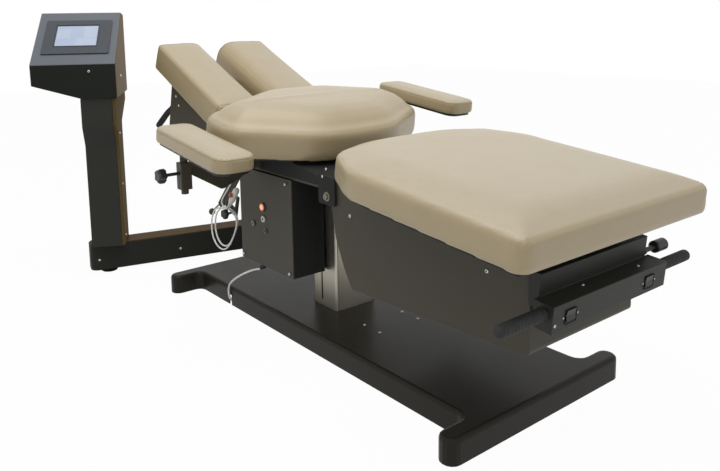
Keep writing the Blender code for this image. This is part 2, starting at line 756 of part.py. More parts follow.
def column_outer():
    flange_top = BASE_HEIGHT - SHEET - GAP
    bottom = flange_top - FLANGE_THICKNESS
    outer = oblong(COLUMN_DEPTH / 2, COLUMN_WIDTH / 2, (COLUMN_X, 0))
    column = prism("column_outer", rounded(outer, COLUMN_CORNER, 0.0, 3), along_z, bottom, COLUMN_TOP, "aluminium")
    flange_width = min(COLUMN_WIDTH / 2 + FLANGE_MARGIN, RAIL_SPREAD / 2 - EDGE)
    flange = oblong(COLUMN_DEPTH / 2 + FLANGE_MARGIN, flange_width, (COLUMN_X, 0))
    weld(column, prism("column_flange", flange, along_z, bottom, flange_top))
    bore = rounded(outer, COLUMN_CORNER, COLUMN_WALL, 3)
    cut(column, prism("column_bore", bore, along_z, bottom + SHEET, COLUMN_TOP + OVERRUN))
    slot = block("column_slot", (COLUMN_SLOT_X - COLUMN_SLOT / 2, -COLUMN_WIDTH / 2 - OVERRUN, BASE_HEIGHT + OVERRUN),
                 (COLUMN_SLOT_X + COLUMN_SLOT / 2, -COLUMN_WIDTH / 2 + OVERRUN, COLUMN_TOP - OVERRUN))
    return cut(column, slot)


def pivot_plate_outline(margin=0.0):
    """The plate that carries the console arm: from inside the base out to the arm's pivot, round at that end."""
    half = PIVOT_PLATE_WIDTH / 2 + margin
    corners = [(ARM_PIVOT_X - half, ARM_PIVOT_Y - half), (PIVOT_PLATE_ROOT, ARM_PIVOT_Y - half),
               (PIVOT_PLATE_ROOT, ARM_PIVOT_Y + half), (ARM_PIVOT_X - half, ARM_PIVOT_Y + half)]
    end = half * 0.96
    return rounded(corners, [end, EDGE, EDGE, end])


def arm_pivot():
    top = PIVOT_PLATE_LIFT + PIVOT_PLATE_THICKNESS
    plate = prism("arm_pivot_plate", pivot_plate_outline(), along_z, PIVOT_PLATE_LIFT, top, "black_sheet")
    bore = PIVOT_PIN_RADIUS + PIN_CLEARANCE
    low, high = PIVOT_PLATE_LIFT - OVERRUN, top + OVERRUN
    cut(plate, rod("plate_bore", (ARM_PIVOT_X, ARM_PIVOT_Y, low), (ARM_PIVOT_X, ARM_PIVOT_Y, high), bore))
    head = ARM_TOP + GAP
    profile = [(PIVOT_PIN_RADIUS, PIVOT_PLATE_LIFT), (PIVOT_PIN_RADIUS, head), (PIVOT_PIN_HEAD, head),
               (PIVOT_PIN_HEAD, head + PIVOT_HEAD_HEIGHT - EDGE), (PIVOT_PIN_HEAD - EDGE, head + PIVOT_HEAD_HEIGHT)]
    turned("arm_pivot_pin", profile, (0, 0, 1), (ARM_PIVOT_X, ARM_PIVOT_Y, 0), "black_sheet")


# Console arm and console


def console_arm():
    at = holder("console_arm_pivot", (ARM_PIVOT_X, ARM_PIVOT_Y, 0.0), yaw=ARM_YAW)
    half = ARM_WIDTH / 2
    corners = [(-half, -ARM_REACH), (half, -ARM_REACH), (half, half), (-half, half)]
    radii = [ARM_CORNER, ARM_CORNER, half * 0.96, half * 0.96]
    levels = [(0.0, ARM_BOTTOM), (0.0, ARM_TOP - 2 * EDGE), (2 * EDGE, ARM_TOP)]
    rings = [(rounded(corners, radii, amount), height) for amount, height in levels]
    beam = stack("arm_beam", rings, along_z, "black_sheet", at)
    inner = [(-half, -ARM_REACH), (half, -ARM_REACH), (half, -half), (-half, -half)]
    pocket = rounded(inner, ARM_CORNER, SHEET)
    cut(beam, prism("arm_hollow", pocket, along_z, ARM_BOTTOM - OVERRUN, ARM_TOP - SHEET, parent=at))
    bore = PIVOT_PIN_RADIUS + PIN_CLEARANCE
    cut(beam, rod("arm_bore", (0, 0, ARM_BOTTOM - OVERRUN), (0, 0, ARM_TOP + OVERRUN), bore, parent=at))
    web = block("arm_foot_web", (-half + EDGE, -LEVEL_FOOT_REACH - LEVEL_FOOT_RADIUS, ARM_TOP - ARM_WIDTH),
                (half - EDGE, -LEVEL_FOOT_REACH + LEVEL_FOOT_RADIUS, ARM_TOP - EDGE), parent=at)
    weld(beam, web)
    top = ARM_TOP - ARM_WIDTH - GAP
    profile = [(LEVEL_FOOT_RADIUS - EDGE, 0), (LEVEL_FOOT_RADIUS, EDGE), (LEVEL_FOOT_RADIUS, LEVEL_FOOT_HEIGHT / 2),
               (LEVEL_FOOT_STEM * 1.4, LEVEL_FOOT_HEIGHT), (LEVEL_FOOT_STEM, LEVEL_FOOT_HEIGHT),
               (LEVEL_FOOT_STEM, top)]
    turned("arm_level_foot", profile, (0, 0, 1), (0, -LEVEL_FOOT_REACH, 0), "black_rubber", at)


def pedestal_corners():
    """The pedestal's side outline, forward and up: a slim leg, a waist and a deep shoulder."""
    back, front = -PEDESTAL_DEPTH / 2, PEDESTAL_DEPTH / 2
    top = HEAD_UNDER - GAP
    return [(back, ARM_TOP + GAP), (front, ARM_TOP + GAP), (front, PEDESTAL_WAIST),
            (UPPER_FRONT, PEDESTAL_SHOULDER), (UPPER_FRONT, top), (UPPER_BACK, top), (UPPER_BACK, UPPER_BOTTOM),
            (back, PEDESTAL_SHOULDER)]


def console_pedestal(at):
    corners = pedestal_corners()
    cover = prism("pedestal_cover", corners, along_y, PEDESTAL_LEFT, PEDESTAL_RIGHT, "black_sheet", at)
    inner = inwards(corners, SHEET)
    cut(cover, prism("pedestal_hollow", inner, along_y, PEDESTAL_LEFT + SHEET, PEDESTAL_RIGHT + OVERRUN, parent=at))
    low = PEDESTAL_RIGHT + GAP
    panel = prism("pedestal_side_panel", corners, along_y, low, low + PANEL_THICKNESS, "bronze_panel", at)
    soften(panel)


def head_corners():
    """The console head's side outline, forward and up: a skirt, a lip and the sloped face."""
    return [(UPPER_BACK, HEAD_UNDER), (HEAD_FRONT - SHEET, HEAD_UNDER), (HEAD_FRONT, HEAD_LIP),
            (HEAD_CREST, HEAD_TOP), (UPPER_BACK, HEAD_TOP - 4 * EDGE)]


def head_underside(name, amount, at):
    """The wedge of space under the head's near end, which rises away from the pedestal."""
    slope = (HEAD_TIP - HEAD_UNDER) / (HEAD_STEP - HEAD_LEFT)
    low = HEAD_UNDER - OVERRUN
    reach = HEAD_LEFT - OVERRUN
    outline = [(reach, low), (HEAD_STEP + OVERRUN / slope, low), (HEAD_STEP - amount, HEAD_UNDER + amount),
               (reach, HEAD_TIP + OVERRUN * slope + amount)]
    return prism(name, outline, along_x, UPPER_BACK - OVERRUN, HEAD_FRONT + OVERRUN, parent=at)


def slope_frame():
    """The sloped face's lower edge and its unit directions: up the slope, and out of it."""
    start = Vector((HEAD_FRONT, 0, HEAD_LIP))
    up = (Vector((HEAD_CREST, 0, HEAD_TOP)) - start).normalized()
    return start, up, Vector((up.z, 0, -up.x))


def on_slope(height_off):
    """Turns a place on the sloped face, across and up it, into the console's own space."""
    start, up, out = slope_frame()

    def place(point, height):
        return start + Vector((0, point[0], 0)) + up * point[1] + out * (height + height_off)

    return place


def console_head(at):
    corners = head_corners()
    shell = prism("head_shell", corners, along_y, HEAD_LEFT, HEAD_RIGHT, "grey_head", at)
    cut(shell, head_underside("head_underside", 0.0, at))
    soften(shell)
    hollow = prism("head_hollow", inwards(corners, SHEET), along_y, HEAD_LEFT + SHEET, HEAD_RIGHT - SHEET, parent=at)
    cut(hollow, head_underside("head_hollow_underside", SHEET, at))
    cut(shell, hollow)
    way = block("head_way", (UPPER_BACK + 3 * SHEET, PEDESTAL_LEFT + 3 * SHEET, HEAD_UNDER - OVERRUN),
                (UPPER_FRONT - 3 * SHEET, PEDESTAL_RIGHT - 3 * SHEET, HEAD_UNDER + OVERRUN), parent=at)
    cut(shell, way)
    frame = [(BEZEL_LEFT, BEZEL_BOTTOM), (BEZEL_RIGHT, BEZEL_BOTTOM), (BEZEL_RIGHT, BEZEL_TOP),
             (BEZEL_LEFT, BEZEL_TOP)]
    bezel = prism("screen_bezel", rounded(frame, BEZEL_CORNER, 0.0, 3), on_slope(GAP), 0.0, BEZEL_THICKNESS,
                  "dark_bezel", at)
    pane = [(SCREEN_LEFT, SCREEN_BOTTOM), (SCREEN_RIGHT, SCREEN_BOTTOM), (SCREEN_RIGHT, SCREEN_TOP),
            (SCREEN_LEFT, SCREEN_TOP)]
    seat = BEZEL_THICKNESS - SCREEN_THICKNESS
    cut(bezel, prism("screen_seat", inwards(pane, -GAP), on_slope(GAP), seat - GAP, BEZEL_THICKNESS + OVERRUN,
                     parent=at))
    prism("touch_screen", pane, on_slope(GAP), seat, BEZEL_THICKNESS - EDGE / 2, "screen_glass", at)


def console():
    at = holder("console_swivel", (CONSOLE_X, CONSOLE_Y, 0.0), yaw=CONSOLE_YAW)
    console_pedestal(at)
    console_head(at)


# Lifted body


def frame_top(x):
    """The centre frame's top, parallel to the thoracic board and just under it."""
    drop = (THORAX_THICKNESS + GAP + BOARD_THICKNESS + GAP) / math.cos(THORAX_TILT)
    return THORAX_Z - drop - (x - THORAX_X) * math.tan(THORAX_TILT)


def lift_stage():
    outer = oblong(COLUMN_DEPTH / 2, COLUMN_WIDTH / 2, (COLUMN_X, 0))
    plate_bottom = FRAME_BOTTOM - GAP - HEAD_PLATE_THICKNESS
    inner_wall = COLUMN_WALL + STAGE_GAP
    stage = rounded(outer, COLUMN_CORNER, inner_wall, 3)
    inner = prism("column_inner", stage, along_z, INNER_BOTTOM, plate_bottom - GAP, "aluminium")
    bore = rounded(outer, COLUMN_CORNER, inner_wall + COLUMN_WALL, 3)
    cut(inner, prism("inner_bore", bore, along_z, INNER_BOTTOM - OVERRUN, plate_bottom + OVERRUN))
    plate = block("lift_head_plate", (FRAME_HEAD + EDGE, -FRAME_SIDE + EDGE, plate_bottom),
                  (FRAME_FOOT - EDGE, FRAME_SIDE - EDGE, FRAME_BOTTOM - GAP), "black_sheet")
    soften(plate)


def centre_frame():
    corners = [(FRAME_HEAD, FRAME_BOTTOM), (FRAME_FOOT, FRAME_BOTTOM), (FRAME_FOOT, frame_top(FRAME_FOOT)),
               (FRAME_HEAD, frame_top(FRAME_HEAD))]
    frame = prism("centre_frame", corners, along_y, -FRAME_SIDE, FRAME_SIDE, "black_sheet")
    inner = inwards(corners, SHEET)
    inner[0].y -= OVERRUN
    inner[1].y -= OVERRUN
    cut(frame, prism("centre_hollow", inner, along_y, -FRAME_SIDE + SHEET, FRAME_SIDE - SHEET))
    plate = rounded([(HINGE_X - HINGE_PLATE_HEAD, HINGE_Z - HINGE_PLATE_DROP),
                     (HINGE_X + HINGE_PLATE_FOOT, HINGE_Z - HINGE_PLATE_DROP),
                     (HINGE_X + HINGE_PLATE_FOOT, HINGE_Z + HINGE_PLATE_RISE - HINGE_PLATE_FOOT),
                     (HINGE_X - HINGE_PLATE_HEAD, HINGE_Z + HINGE_PLATE_RISE - HINGE_PLATE_FOOT)], 4 * EDGE, 0.0, 3)
    bore = HINGE_RADIUS + PIN_CLEARANCE
    for side in (-1, 1):
        low, high = sorted((side * (FRAME_SIDE - EDGE / 4), side * (FRAME_SIDE + HINGE_PLATE)))
        weld(frame, prism("hinge_plate", plate, along_y, low, high))
    wide = FRAME_SIDE + OVERRUN
    cut(frame, rod("hinge_bore", (HINGE_X, -wide, HINGE_Z), (HINGE_X, wide, HINGE_Z), bore))
    lug_low = HEAD_Z - HEAD_LUG_TOP
    lug_corners = [(HEAD_X - HEAD_LUG_TOP, lug_low), (FRAME_HEAD + EDGE, lug_low),
                   (FRAME_HEAD + EDGE, HEAD_Z + HEAD_LUG_TOP), (HEAD_X - HEAD_LUG_TOP, HEAD_Z + HEAD_LUG_TOP)]
    lug = rounded(lug_corners, [HEAD_LUG_TOP / 2, 0, 0, HEAD_LUG_TOP / 2], 0.0, 3)
    near = HEAD_ARM_SIDE + PIN_CLEARANCE
    for side in (-1, 1):
        low, high = sorted((side * near, side * (near + HEAD_LUG_THICKNESS)))
        weld(frame, prism("head_lug", lug, along_y, low, high))
    wide = near + HEAD_LUG_THICKNESS + OVERRUN
    bore = HEAD_PIN_RADIUS + PIN_CLEARANCE
    cut(frame, rod("head_hinge_bore", (HEAD_X, -wide, HEAD_Z), (HEAD_X, wide, HEAD_Z), bore))
    half = FRAME_SIDE + HINGE_PLATE
    rod("leg_hinge_pin", (HINGE_X, -half, HINGE_Z), (HINGE_X, half, HINGE_Z), HINGE_RADIUS, "bare_steel", edge=EDGE)
    half = near + HEAD_LUG_THICKNESS
    rod("head_hinge_pin", (HEAD_X, -half, HEAD_Z), (HEAD_X, half, HEAD_Z), HEAD_PIN_RADIUS, "bare_steel", edge=EDGE)


def control_box():
    top = FRAME_BOTTOM - 2 * GAP - HEAD_PLATE_THICKNESS
    face_back = BOX_NEAR + FACE_THICKNESS
    shell_near = face_back + GAP
    shell = block("control_box_shell", (BOX_HEAD, shell_near, BOX_BOTTOM), (BOX_FOOT, BOX_FAR, top), "black_sheet")
    cut(shell, block("box_hollow", (BOX_HEAD + BOX_WALL, shell_near - OVERRUN, BOX_BOTTOM + BOX_WALL),
                     (BOX_FOOT - BOX_WALL, BOX_FAR - BOX_WALL, top - BOX_WALL)))
    face = block("control_box_face", (BOX_HEAD, BOX_NEAR, BOX_BOTTOM), (BOX_FOOT, face_back, top), "black_sheet")
    collars = (("button", BUTTON_X, BUTTON_Z, BUTTON_BEZEL, BUTTON_BEZEL_RISE),
               ("jack", JACK_X, JACK_Z, JACK_RADIUS, KEY_RISE), ("key", KEY_X, KEY_Z, KEY_RADIUS, KEY_RISE))
    for name, x, z, radius, rise in collars:
        weld(face, rod(f"{name}_collar", (x, BOX_NEAR - rise, z), (x, BOX_NEAR + EDGE, z), radius))
    bore = BUTTON_RADIUS + PIN_CLEARANCE
    cut(face, rod("button_bore", (BUTTON_X, BOX_NEAR - OVERRUN, BUTTON_Z), (BUTTON_X, face_back + OVERRUN, BUTTON_Z),
                  bore))
    rod("power_button", (BUTTON_X, BOX_NEAR - BUTTON_RISE, BUTTON_Z), (BUTTON_X, face_back - BUTTON_TRAVEL, BUTTON_Z),
        BUTTON_RADIUS, "orange_plastic", edge=EDGE / 2)
    socket = rod("signal_socket", (SOCKET_X, BOX_NEAR - SOCKET_RISE, SOCKET_Z), (SOCKET_X, BOX_NEAR - GAP, SOCKET_Z),
                 SOCKET_RADIUS, "white_plastic", edge=EDGE / 2)
    cut(socket, rod("socket_bore", (SOCKET_X, BOX_NEAR - OVERRUN, SOCKET_Z),
                    (SOCKET_X, BOX_NEAR - EDGE, SOCKET_Z), SOCKET_BORE, segments=12))


def mains_gland():
    top = (GLAND_X, GLAND_Y, BOX_BOTTOM - GAP)
    low = (GLAND_X, GLAND_Y, BOX_BOTTOM - GAP - GLAND_HEIGHT)
    gland = rod("mains_gland", low, top, GLAND_RADIUS, "black_rubber", segments=20)
    profile = [(BOOT_RADIUS, 0), (BOOT_RADIUS, BOOT_LENGTH / 3), (BOOT_END_RADIUS, BOOT_LENGTH)]
    return weld(gland, turned("gland_boot", profile, boot_direction(), boot_start(), segments=16))


def boot_direction():
    return Vector((-math.cos(BOOT_PITCH), 0, -math.sin(BOOT_PITCH)))


def boot_start():
    return Vector((GLAND_X, GLAND_Y, BOX_BOTTOM - GAP - GLAND_HEIGHT * 0.75))


def hook():
    """The flat hook beside the control box, its mounting tab, its end knob and the cradle for the hand switch."""
    back = HOOK_Y + HOOK_THICKNESS
    plate = prism("pendant_hook", HOOK_OUTLINE, along_y, HOOK_Y, back, "black_sheet")
    face = FRAME_HEAD - GAP
    tab_low = FRAME_BOTTOM - HEAD_PLATE_THICKNESS
    middle = HOOK_Y + HOOK_THICKNESS / 2
    tab = block("hook_tab", (face - HOOK_TAB, middle - HOOK_TAB_WIDTH / 2, tab_low),
                (face, middle + HOOK_TAB_WIDTH / 2, tab_low + HOOK_TAB_HEIGHT))
    weld(plate, tab)
    end = (HOOK_END_X, middle, HOOK_END_Z)
    weld(plate, rod("hook_arm", (HOOK_OUTLINE[4][0] + HOOK_END_KNOB, middle, HOOK_OUTLINE[4][1]), end,
                    HOOK_THICKNESS / 2 - EDGE / 8, segments=12))
    weld(plate, ball("hook_end_knob", end, HOOK_END_KNOB))
    x, z = HOOK_OUTLINE[-3]
    cradle = block("hook_cradle", (x - SWITCH_RADIUS / 2, SWITCH_Y + SWITCH_RADIUS + GAP, z - SWITCH_RADIUS),
                   (x + SWITCH_RADIUS / 2, back - EDGE, z))
    weld(plate, cradle)
    front = HOOK_Y - GAP
    knob_back = front - HOOK_STEM_LENGTH
    knob = star_knob("hook_knob", (HOOK_KNOB_X, knob_back, HOOK_KNOB_Z), (0, -1, 0), HOOK_KNOB, HOOK_KNOB_DEPTH,
                     "black_plastic")
    weld(knob, rod("hook_stem", (HOOK_KNOB_X, knob_back - EDGE, HOOK_KNOB_Z), (HOOK_KNOB_X, front, HOOK_KNOB_Z),
                   HOOK_STEM, segments=12))


def hand_switch():
    tail = Vector((SWITCH_TAIL_X, SWITCH_Y, SWITCH_TAIL_Z))
    tip = Vector((SWITCH_TIP_X, SWITCH_Y, SWITCH_TIP_Z))
    axis = tip - tail
    length = axis.length
    shares = ((SWITCH_TAIL_RADIUS, 0.0), (SWITCH_RADIUS * 0.75, 0.22), (SWITCH_RADIUS, 0.38), (SWITCH_RADIUS, 0.86),
              (SWITCH_RADIUS * 0.85, 0.95), (SWITCH_RADIUS * 0.5, 1.0))
    profile = [(radius, length * share) for radius, share in shares]
    body = turned("pendant_body", profile, axis, tail, "white_plastic")
    at = tail.lerp(tip, 0.68)
    face = SWITCH_Y - SWITCH_RADIUS
    deep = face + SWITCH_BUTTON_DEPTH
    bore = SWITCH_BUTTON + PIN_CLEARANCE
    cut(body, rod("switch_bore", (at.x, face - OVERRUN, at.z), (at.x, deep, at.z), bore, segments=16))
    rod("pendant_button", (at.x, face - SWITCH_BUTTON_RISE, at.z), (at.x, deep - SWITCH_BUTTON_TRAVEL, at.z),
        SWITCH_BUTTON, "red_plastic", edge=EDGE / 4, segments=16)
    points = smooth_route(SWITCH_CORD_ROUTE, CORD_STEP_SHARE * CORD_DIAMETER)
    tube("pendant_cord", points, CORD_DIAMETER, 2, "white_cord")


def thorax():
    at = holder("thorax_holder", (THORAX_X, 0.0, THORAX_Z), tilt=THORAX_TILT)
    corners = [(x * (THORAX_FOOT if x > 0 else THORAX_HEAD), y * THORAX_HALF_WIDTH) for x, y in THORAX_SHARES]
    sides = [THORAX_SIDE_ROUND] * 2
    radii = [THORAX_FOOT_ROUND] * 2 + sides + [THORAX_HEAD_ROUND] * 2 + sides
    cushion("thoracic_cushion", corners, radii, THORAX_THICKNESS, THORAX_CROWN, THORAX_REACH, at)
    high = -THORAX_THICKNESS - GAP
    board = rounded(corners, radii, BOARD_MARGIN, 3)
    prism("thoracic_board", board, along_z, high - BOARD_THICKNESS, high, "birch_ply", at)


# Leg section


def housing_outline(shares):
    """Corners from the leg hinge, forward and up, given as shares of the housing's length and depth."""
    return [(HOUSING_HEAD + x * (HOUSING_LENGTH - HOUSING_HEAD), HOUSING_TOP + z * HOUSING_DEPTH)
            for x, z in shares]


def housing_foot(z):
    """Where the housing's sloping foot face is at a height."""
    low, high = housing_outline(HOUSING_SHARES[-2:])
    return low[0] + (high[0] - low[0]) * (z - low[1]) / (high[1] - low[1])


def leg_housing(at):
    """A deep trough that tapers to the foot, with cheeks that reach past the hinge pin."""
    corners = housing_outline(HOUSING_SHARES)
    outer = rounded(corners, [0] + [3 * SHEET] * (len(corners) - 2) + [0], 0.0, 3)
    housing = prism("leg_housing", outer, along_y, -HOUSING_SIDE, HOUSING_SIDE, "black_sheet", at)
    inner = inwards(corners, SHEET)
    inner[0].y += OVERRUN
    inner[-1].y += OVERRUN
    cut(housing, prism("housing_hollow", inner, along_y, -HOUSING_SIDE + SHEET, HOUSING_SIDE - SHEET, parent=at))
    cheek = housing_outline(CHEEK_SHARES)
    for side in (-1, 1):
        low, high = sorted((side * HOUSING_SIDE, side * (HOUSING_SIDE - SHEET)))
        weld(housing, prism("housing_cheek", cheek, along_y, low, high, parent=at))
    wide = HOUSING_SIDE + OVERRUN
    bore = HINGE_RADIUS + PIN_CLEARANCE
    return cut(housing, rod("cheek_bore", (0, -wide, 0), (0, wide, 0), bore, parent=at))


def leg_frame(at):
    """A ladder frame on the housing, with two lugs down to the hinge pin."""
    low = HOUSING_TOP + GAP
    high = low + LEG_FRAME_DEPTH
    frame = block("leg_frame", (-LUG_HALF, -LEG_FRAME_SIDE, low), (LEG_FRAME_LENGTH, LEG_FRAME_SIDE, high),
                  "black_sheet", at)
    inner = LEG_FRAME_SIDE - LEG_FRAME_RAIL
    bay = (LEG_FRAME_LENGTH - LEG_FRAME_RAIL) / 3
    for index in range(3):
        start = LEG_FRAME_RAIL + index * bay
        cut(frame, block("frame_bay", (start, -inner, low - OVERRUN),
                         (start + bay - LEG_FRAME_RAIL, inner, high + OVERRUN), parent=at))
    lug = rounded([(-LUG_HALF, -LUG_HALF), (LUG_HALF, -LUG_HALF), (LUG_HALF, low + EDGE), (-LUG_HALF, low + EDGE)],
                  [LUG_HALF * 0.9, LUG_HALF * 0.9, 0, 0], 0.0, 4)
    for side in (-1, 1):
        ends = sorted((side * LEG_FRAME_SIDE, side * (LEG_FRAME_SIDE - LUG_THICKNESS)))
        weld(frame, prism("hinge_lug", lug, along_y, ends[0], ends[1], parent=at))
    bore = HINGE_RADIUS + PIN_CLEARANCE
    wide = LEG_FRAME_SIDE + OVERRUN
    return cut(frame, rod("lug_bore", (0, -wide, 0), (0, wide, 0), bore, parent=at))


def leg_carriage(at):
    """The sliding board and its cushion."""
    corners = [(LEG_FOOT - LEG_LENGTH * x, y * LEG_HALF_WIDTH) for x, y in LEG_SHARES]
    near = [LEG_NECK_ROUND, LEG_SIDE_ROUND, LEG_FOOT_ROUND]
    radii = [LEG_HEAD_ROUND] * 2 + near + near[::-1]
    high = LEG_BOTTOM - GAP
    low = high - LEG_BOARD_THICKNESS
    board = prism("leg_board", rounded(corners, radii, BOARD_MARGIN, 3), along_z, low, high, "birch_ply", at)
    side = HOUSING_SIDE + TAB_OFF
    tab = block("board_tab", (TAB_X - TAB_WIDTH / 2, -side - TAB_THICKNESS, low - TAB_DROP),
                (TAB_X + TAB_WIDTH / 2, -side, low + EDGE), parent=at)
    weld(board, tab)
    top = holder("leg_cushion_holder", (0, 0, LEG_BOTTOM + LEG_THICKNESS))
    top.parent = at
    cushion("leg_cushion", corners, radii, LEG_THICKNESS, LEG_CROWN, LEG_REACH, top)


def handle_bar(at):
    """The foot-end box on its cross member, with a grip at each end and two rocker switches."""
    low = HANDLE_TOP - HANDLE_HEIGHT
    box = block("handle_box", (HANDLE_X, -HANDLE_SIDE, low), (HANDLE_X + HANDLE_DEPTH, HANDLE_SIDE, HANDLE_TOP),
                "black_sheet", at)
    lower = low / 2
    cross = [(housing_foot(lower) + GAP, lower), (HANDLE_X + EDGE, lower), (HANDLE_X + EDGE, CROSS_TOP),
             (housing_foot(CROSS_TOP) + GAP, CROSS_TOP)]
    weld(box, prism("cross_member", cross, along_y, -CROSS_SIDE, CROSS_SIDE, parent=at))
    soften(box)
    front = HANDLE_X + HANDLE_DEPTH
    for side, y in (("near", ROCKER_NEAR_Y), ("far", ROCKER_FAR_Y)):
        half, tall = ROCKER_WIDTH / 2 + ROCKER_GAP, ROCKER_HEIGHT / 2 + ROCKER_GAP
        cut(box, block("rocker_seat", (front - ROCKER_DEPTH, y - half, ROCKER_Z - tall),
                       (front + OVERRUN, y + half, ROCKER_Z + tall), parent=at))
        rocker(side, y, front, at)
    for side, sign in (("near", -1), ("far", 1)):
        start = sign * (HANDLE_SIDE + GAP)
        end = sign * (HANDLE_SIDE + GAP + GRIP_LENGTH)
        grip(f"grip_{side}", start, end, at)


def grip(name, start, end, at):
    """A rubber grip with a domed end."""
    dome = [(math.cos(math.radians(angle)), math.sin(math.radians(angle))) for angle in range(0, 81, 20)]
    length = abs(end - start)
    profile = [(GRIP_RADIUS, 0.0)] + [(GRIP_RADIUS * x, length - GRIP_RADIUS * (1 - y)) for x, y in dome]
    turned(name, profile, (0, end - start, 0), (GRIP_X, start, GRIP_Z), "black_rubber", at)


def rocker(side, y, front, at):
    """A rocker switch, higher at its two ends than at its pivot."""
    pivot = holder(f"rocker_{side}_pivot", (front - ROCKER_DEPTH / 2, y, ROCKER_Z))
    pivot.parent = at
    half = ROCKER_HEIGHT / 2
    reach = ROCKER_DEPTH / 2 + ROCKER_RISE
    low = -ROCKER_DEPTH / 2 + 2 * ROCKER_GAP
    outline = [(low, -half * 0.5), (reach * 0.6, -half), (reach, -half), (reach * 0.75, 0), (reach, half),
               (reach * 0.6, half), (low, half * 0.5)]
    prism(f"rocker_{side}", outline, along_y, -ROCKER_WIDTH / 2, ROCKER_WIDTH / 2, "black_plastic", pivot)


def lock_knob(at):
    pivot = holder("lock_pivot", (LOCK_X, CROSS_SIDE + GAP, LOCK_Z))
    pivot.parent = at
    end = LOCK_STEM_LENGTH + LOCK_KNOB_LENGTH
    profile = [(LOCK_STEM * 1.5, 0), (LOCK_STEM * 1.5, LOCK_STEM), (LOCK_STEM, LOCK_STEM), (LOCK_STEM, LOCK_STEM_LENGTH),
               (LOCK_KNOB * 0.8, LOCK_STEM_LENGTH), (LOCK_KNOB, LOCK_STEM_LENGTH + EDGE), (LOCK_KNOB, end - 3 * EDGE),
               (LOCK_KNOB * 0.7, end)]
    turned("lock_knob", profile, (0, 1, 0), (0, 0, 0), "black_plastic", pivot)


def leg_section():
    at = holder("leg_hinge", (HINGE_X, 0.0, HINGE_Z), tilt=LEG_TILT)
    leg_housing(at)
    leg_frame(at)
    handle_bar(at)
    lock_knob(at)
    slide = holder("leg_slide", (0, 0, 0))
    slide.parent = at
    leg_carriage(slide)


# Head section


def head_section():
    at = holder("head_hinge", (HEAD_X, 0.0, HEAD_Z), tilt=HEAD_TILT)
    wedge = [(-WEDGE_LENGTH, WEDGE_TOP), (-WEDGE_LENGTH * 0.938, WEDGE_TOP - WEDGE_DEPTH),
             (-WEDGE_FOOT, WEDGE_TOP - 2 * SHEET), (-WEDGE_FOOT, WEDGE_TOP)]
    frame = prism("head_frame", wedge, along_y, -WEDGE_SIDE, WEDGE_SIDE, "black_sheet", at)
    inner = inwards(wedge, SHEET)
    inner[0].y += OVERRUN
    hollow = [inner[0], inner[1], (-2 * WEDGE_FOOT, inner[1].y * 0.25), (-2 * WEDGE_FOOT, inner[0].y)]
    cut(frame, prism("head_hollow_wedge", hollow, along_y, -WEDGE_SIDE + SHEET, WEDGE_SIDE - SHEET, parent=at))
    arm = [(x * WEDGE_LENGTH, z * WEDGE_DEPTH) for x, z in HEAD_ARM_SHARES]
    weld(frame, prism("head_arm", arm, along_y, -HEAD_ARM_SIDE, HEAD_ARM_SIDE, parent=at))
    side = HEAD_ARM_SIDE
    weld(frame, rod("head_boss", (0, -side, 0), (0, side, 0), HEAD_BOSS, parent=at))
    wide = side + OVERRUN
    bore = HEAD_PIN_RADIUS + PIN_CLEARANCE
    cut(frame, rod("head_bore", (0, -wide, 0), (0, wide, 0), bore, parent=at))
    for name, sign in (("near", -1), ("far", 1)):
        head_pad(name, sign, at)
    head_lever(wedge, at)


def head_pad(name, sign, at):
    """A long pad, its top rounded far over on the side of the channel between the two."""
    middle = (PAD_INNER + PAD_OUTER) / 2
    top = PAD_TOP - PAD_CROWN
    corners = [(PAD_INNER, PAD_BOTTOM), (PAD_OUTER, PAD_BOTTOM), (PAD_OUTER, top), (middle, PAD_TOP), (PAD_INNER, top)]
    low = PAD_OUTER_ROUND * 0.6
    radii = [low, low, PAD_OUTER_ROUND, PAD_CROWN_ROUND, PAD_INNER_ROUND]
    rings = []
    for share in (1.0, 0.5, 0.0):
        turn = math.radians(90) * share
        rings.append((PAD_END_ROUND * (1 - math.cos(turn)), -PAD_HEAD + PAD_END_ROUND * (1 - math.sin(turn))))
    rings += [(inset, -PAD_HEAD - PAD_FOOT - x) for inset, x in reversed(rings)]
    outlines = []
    for inset, x in rings:
        outline = rounded(corners, radii, inset, 5)
        outlines.append(([(sign * point.x, max(point.y, PAD_BOTTOM)) for point in outline], x))
    stack(f"head_pad_{name}", outlines, along_x, "tan_vinyl", at, math.radians(60))


def head_lever(wedge, at):
    """The release lever on the head section's end face."""
    top, low = Vector((wedge[0][0], 0, wedge[0][1])), Vector((wedge[1][0], 0, wedge[1][1]))
    down = (low - top).normalized()
    out = Vector((down.z, 0, -down.x))
    face = top.lerp(low, LEVER_SHARE) + out * GAP
    pivot = holder("head_lever_pivot", (face.x, LEVER_Y, face.z))
    pivot.parent = at
    boss = turned("head_lever", [(LEVER_BOSS, 0), (LEVER_BOSS, LEVER_BOSS_HEIGHT - EDGE),
                                 (LEVER_BOSS - EDGE, LEVER_BOSS_HEIGHT)], out, (0, 0, 0), "black_plastic", pivot)
    start = out * (LEVER_BOSS_HEIGHT / 2)
    direction = Vector(LEVER_DIRECTION).normalized()
    dome = [(1.0, 0.0), (0.75, 0.6), (0.4, 0.9)]
    profile = [(LEVER_RADIUS * 0.8, 0.0), (LEVER_RADIUS * 0.8, LEVER_LENGTH * 0.3), (LEVER_RADIUS, LEVER_LENGTH * 0.34)]
    profile += [(LEVER_RADIUS * x, LEVER_LENGTH - LEVER_RADIUS * (1 - y)) for x, y in dome]
    weld(boss, turned("lever_bar", profile, direction, start, parent=pivot, segments=16))


# Armrests


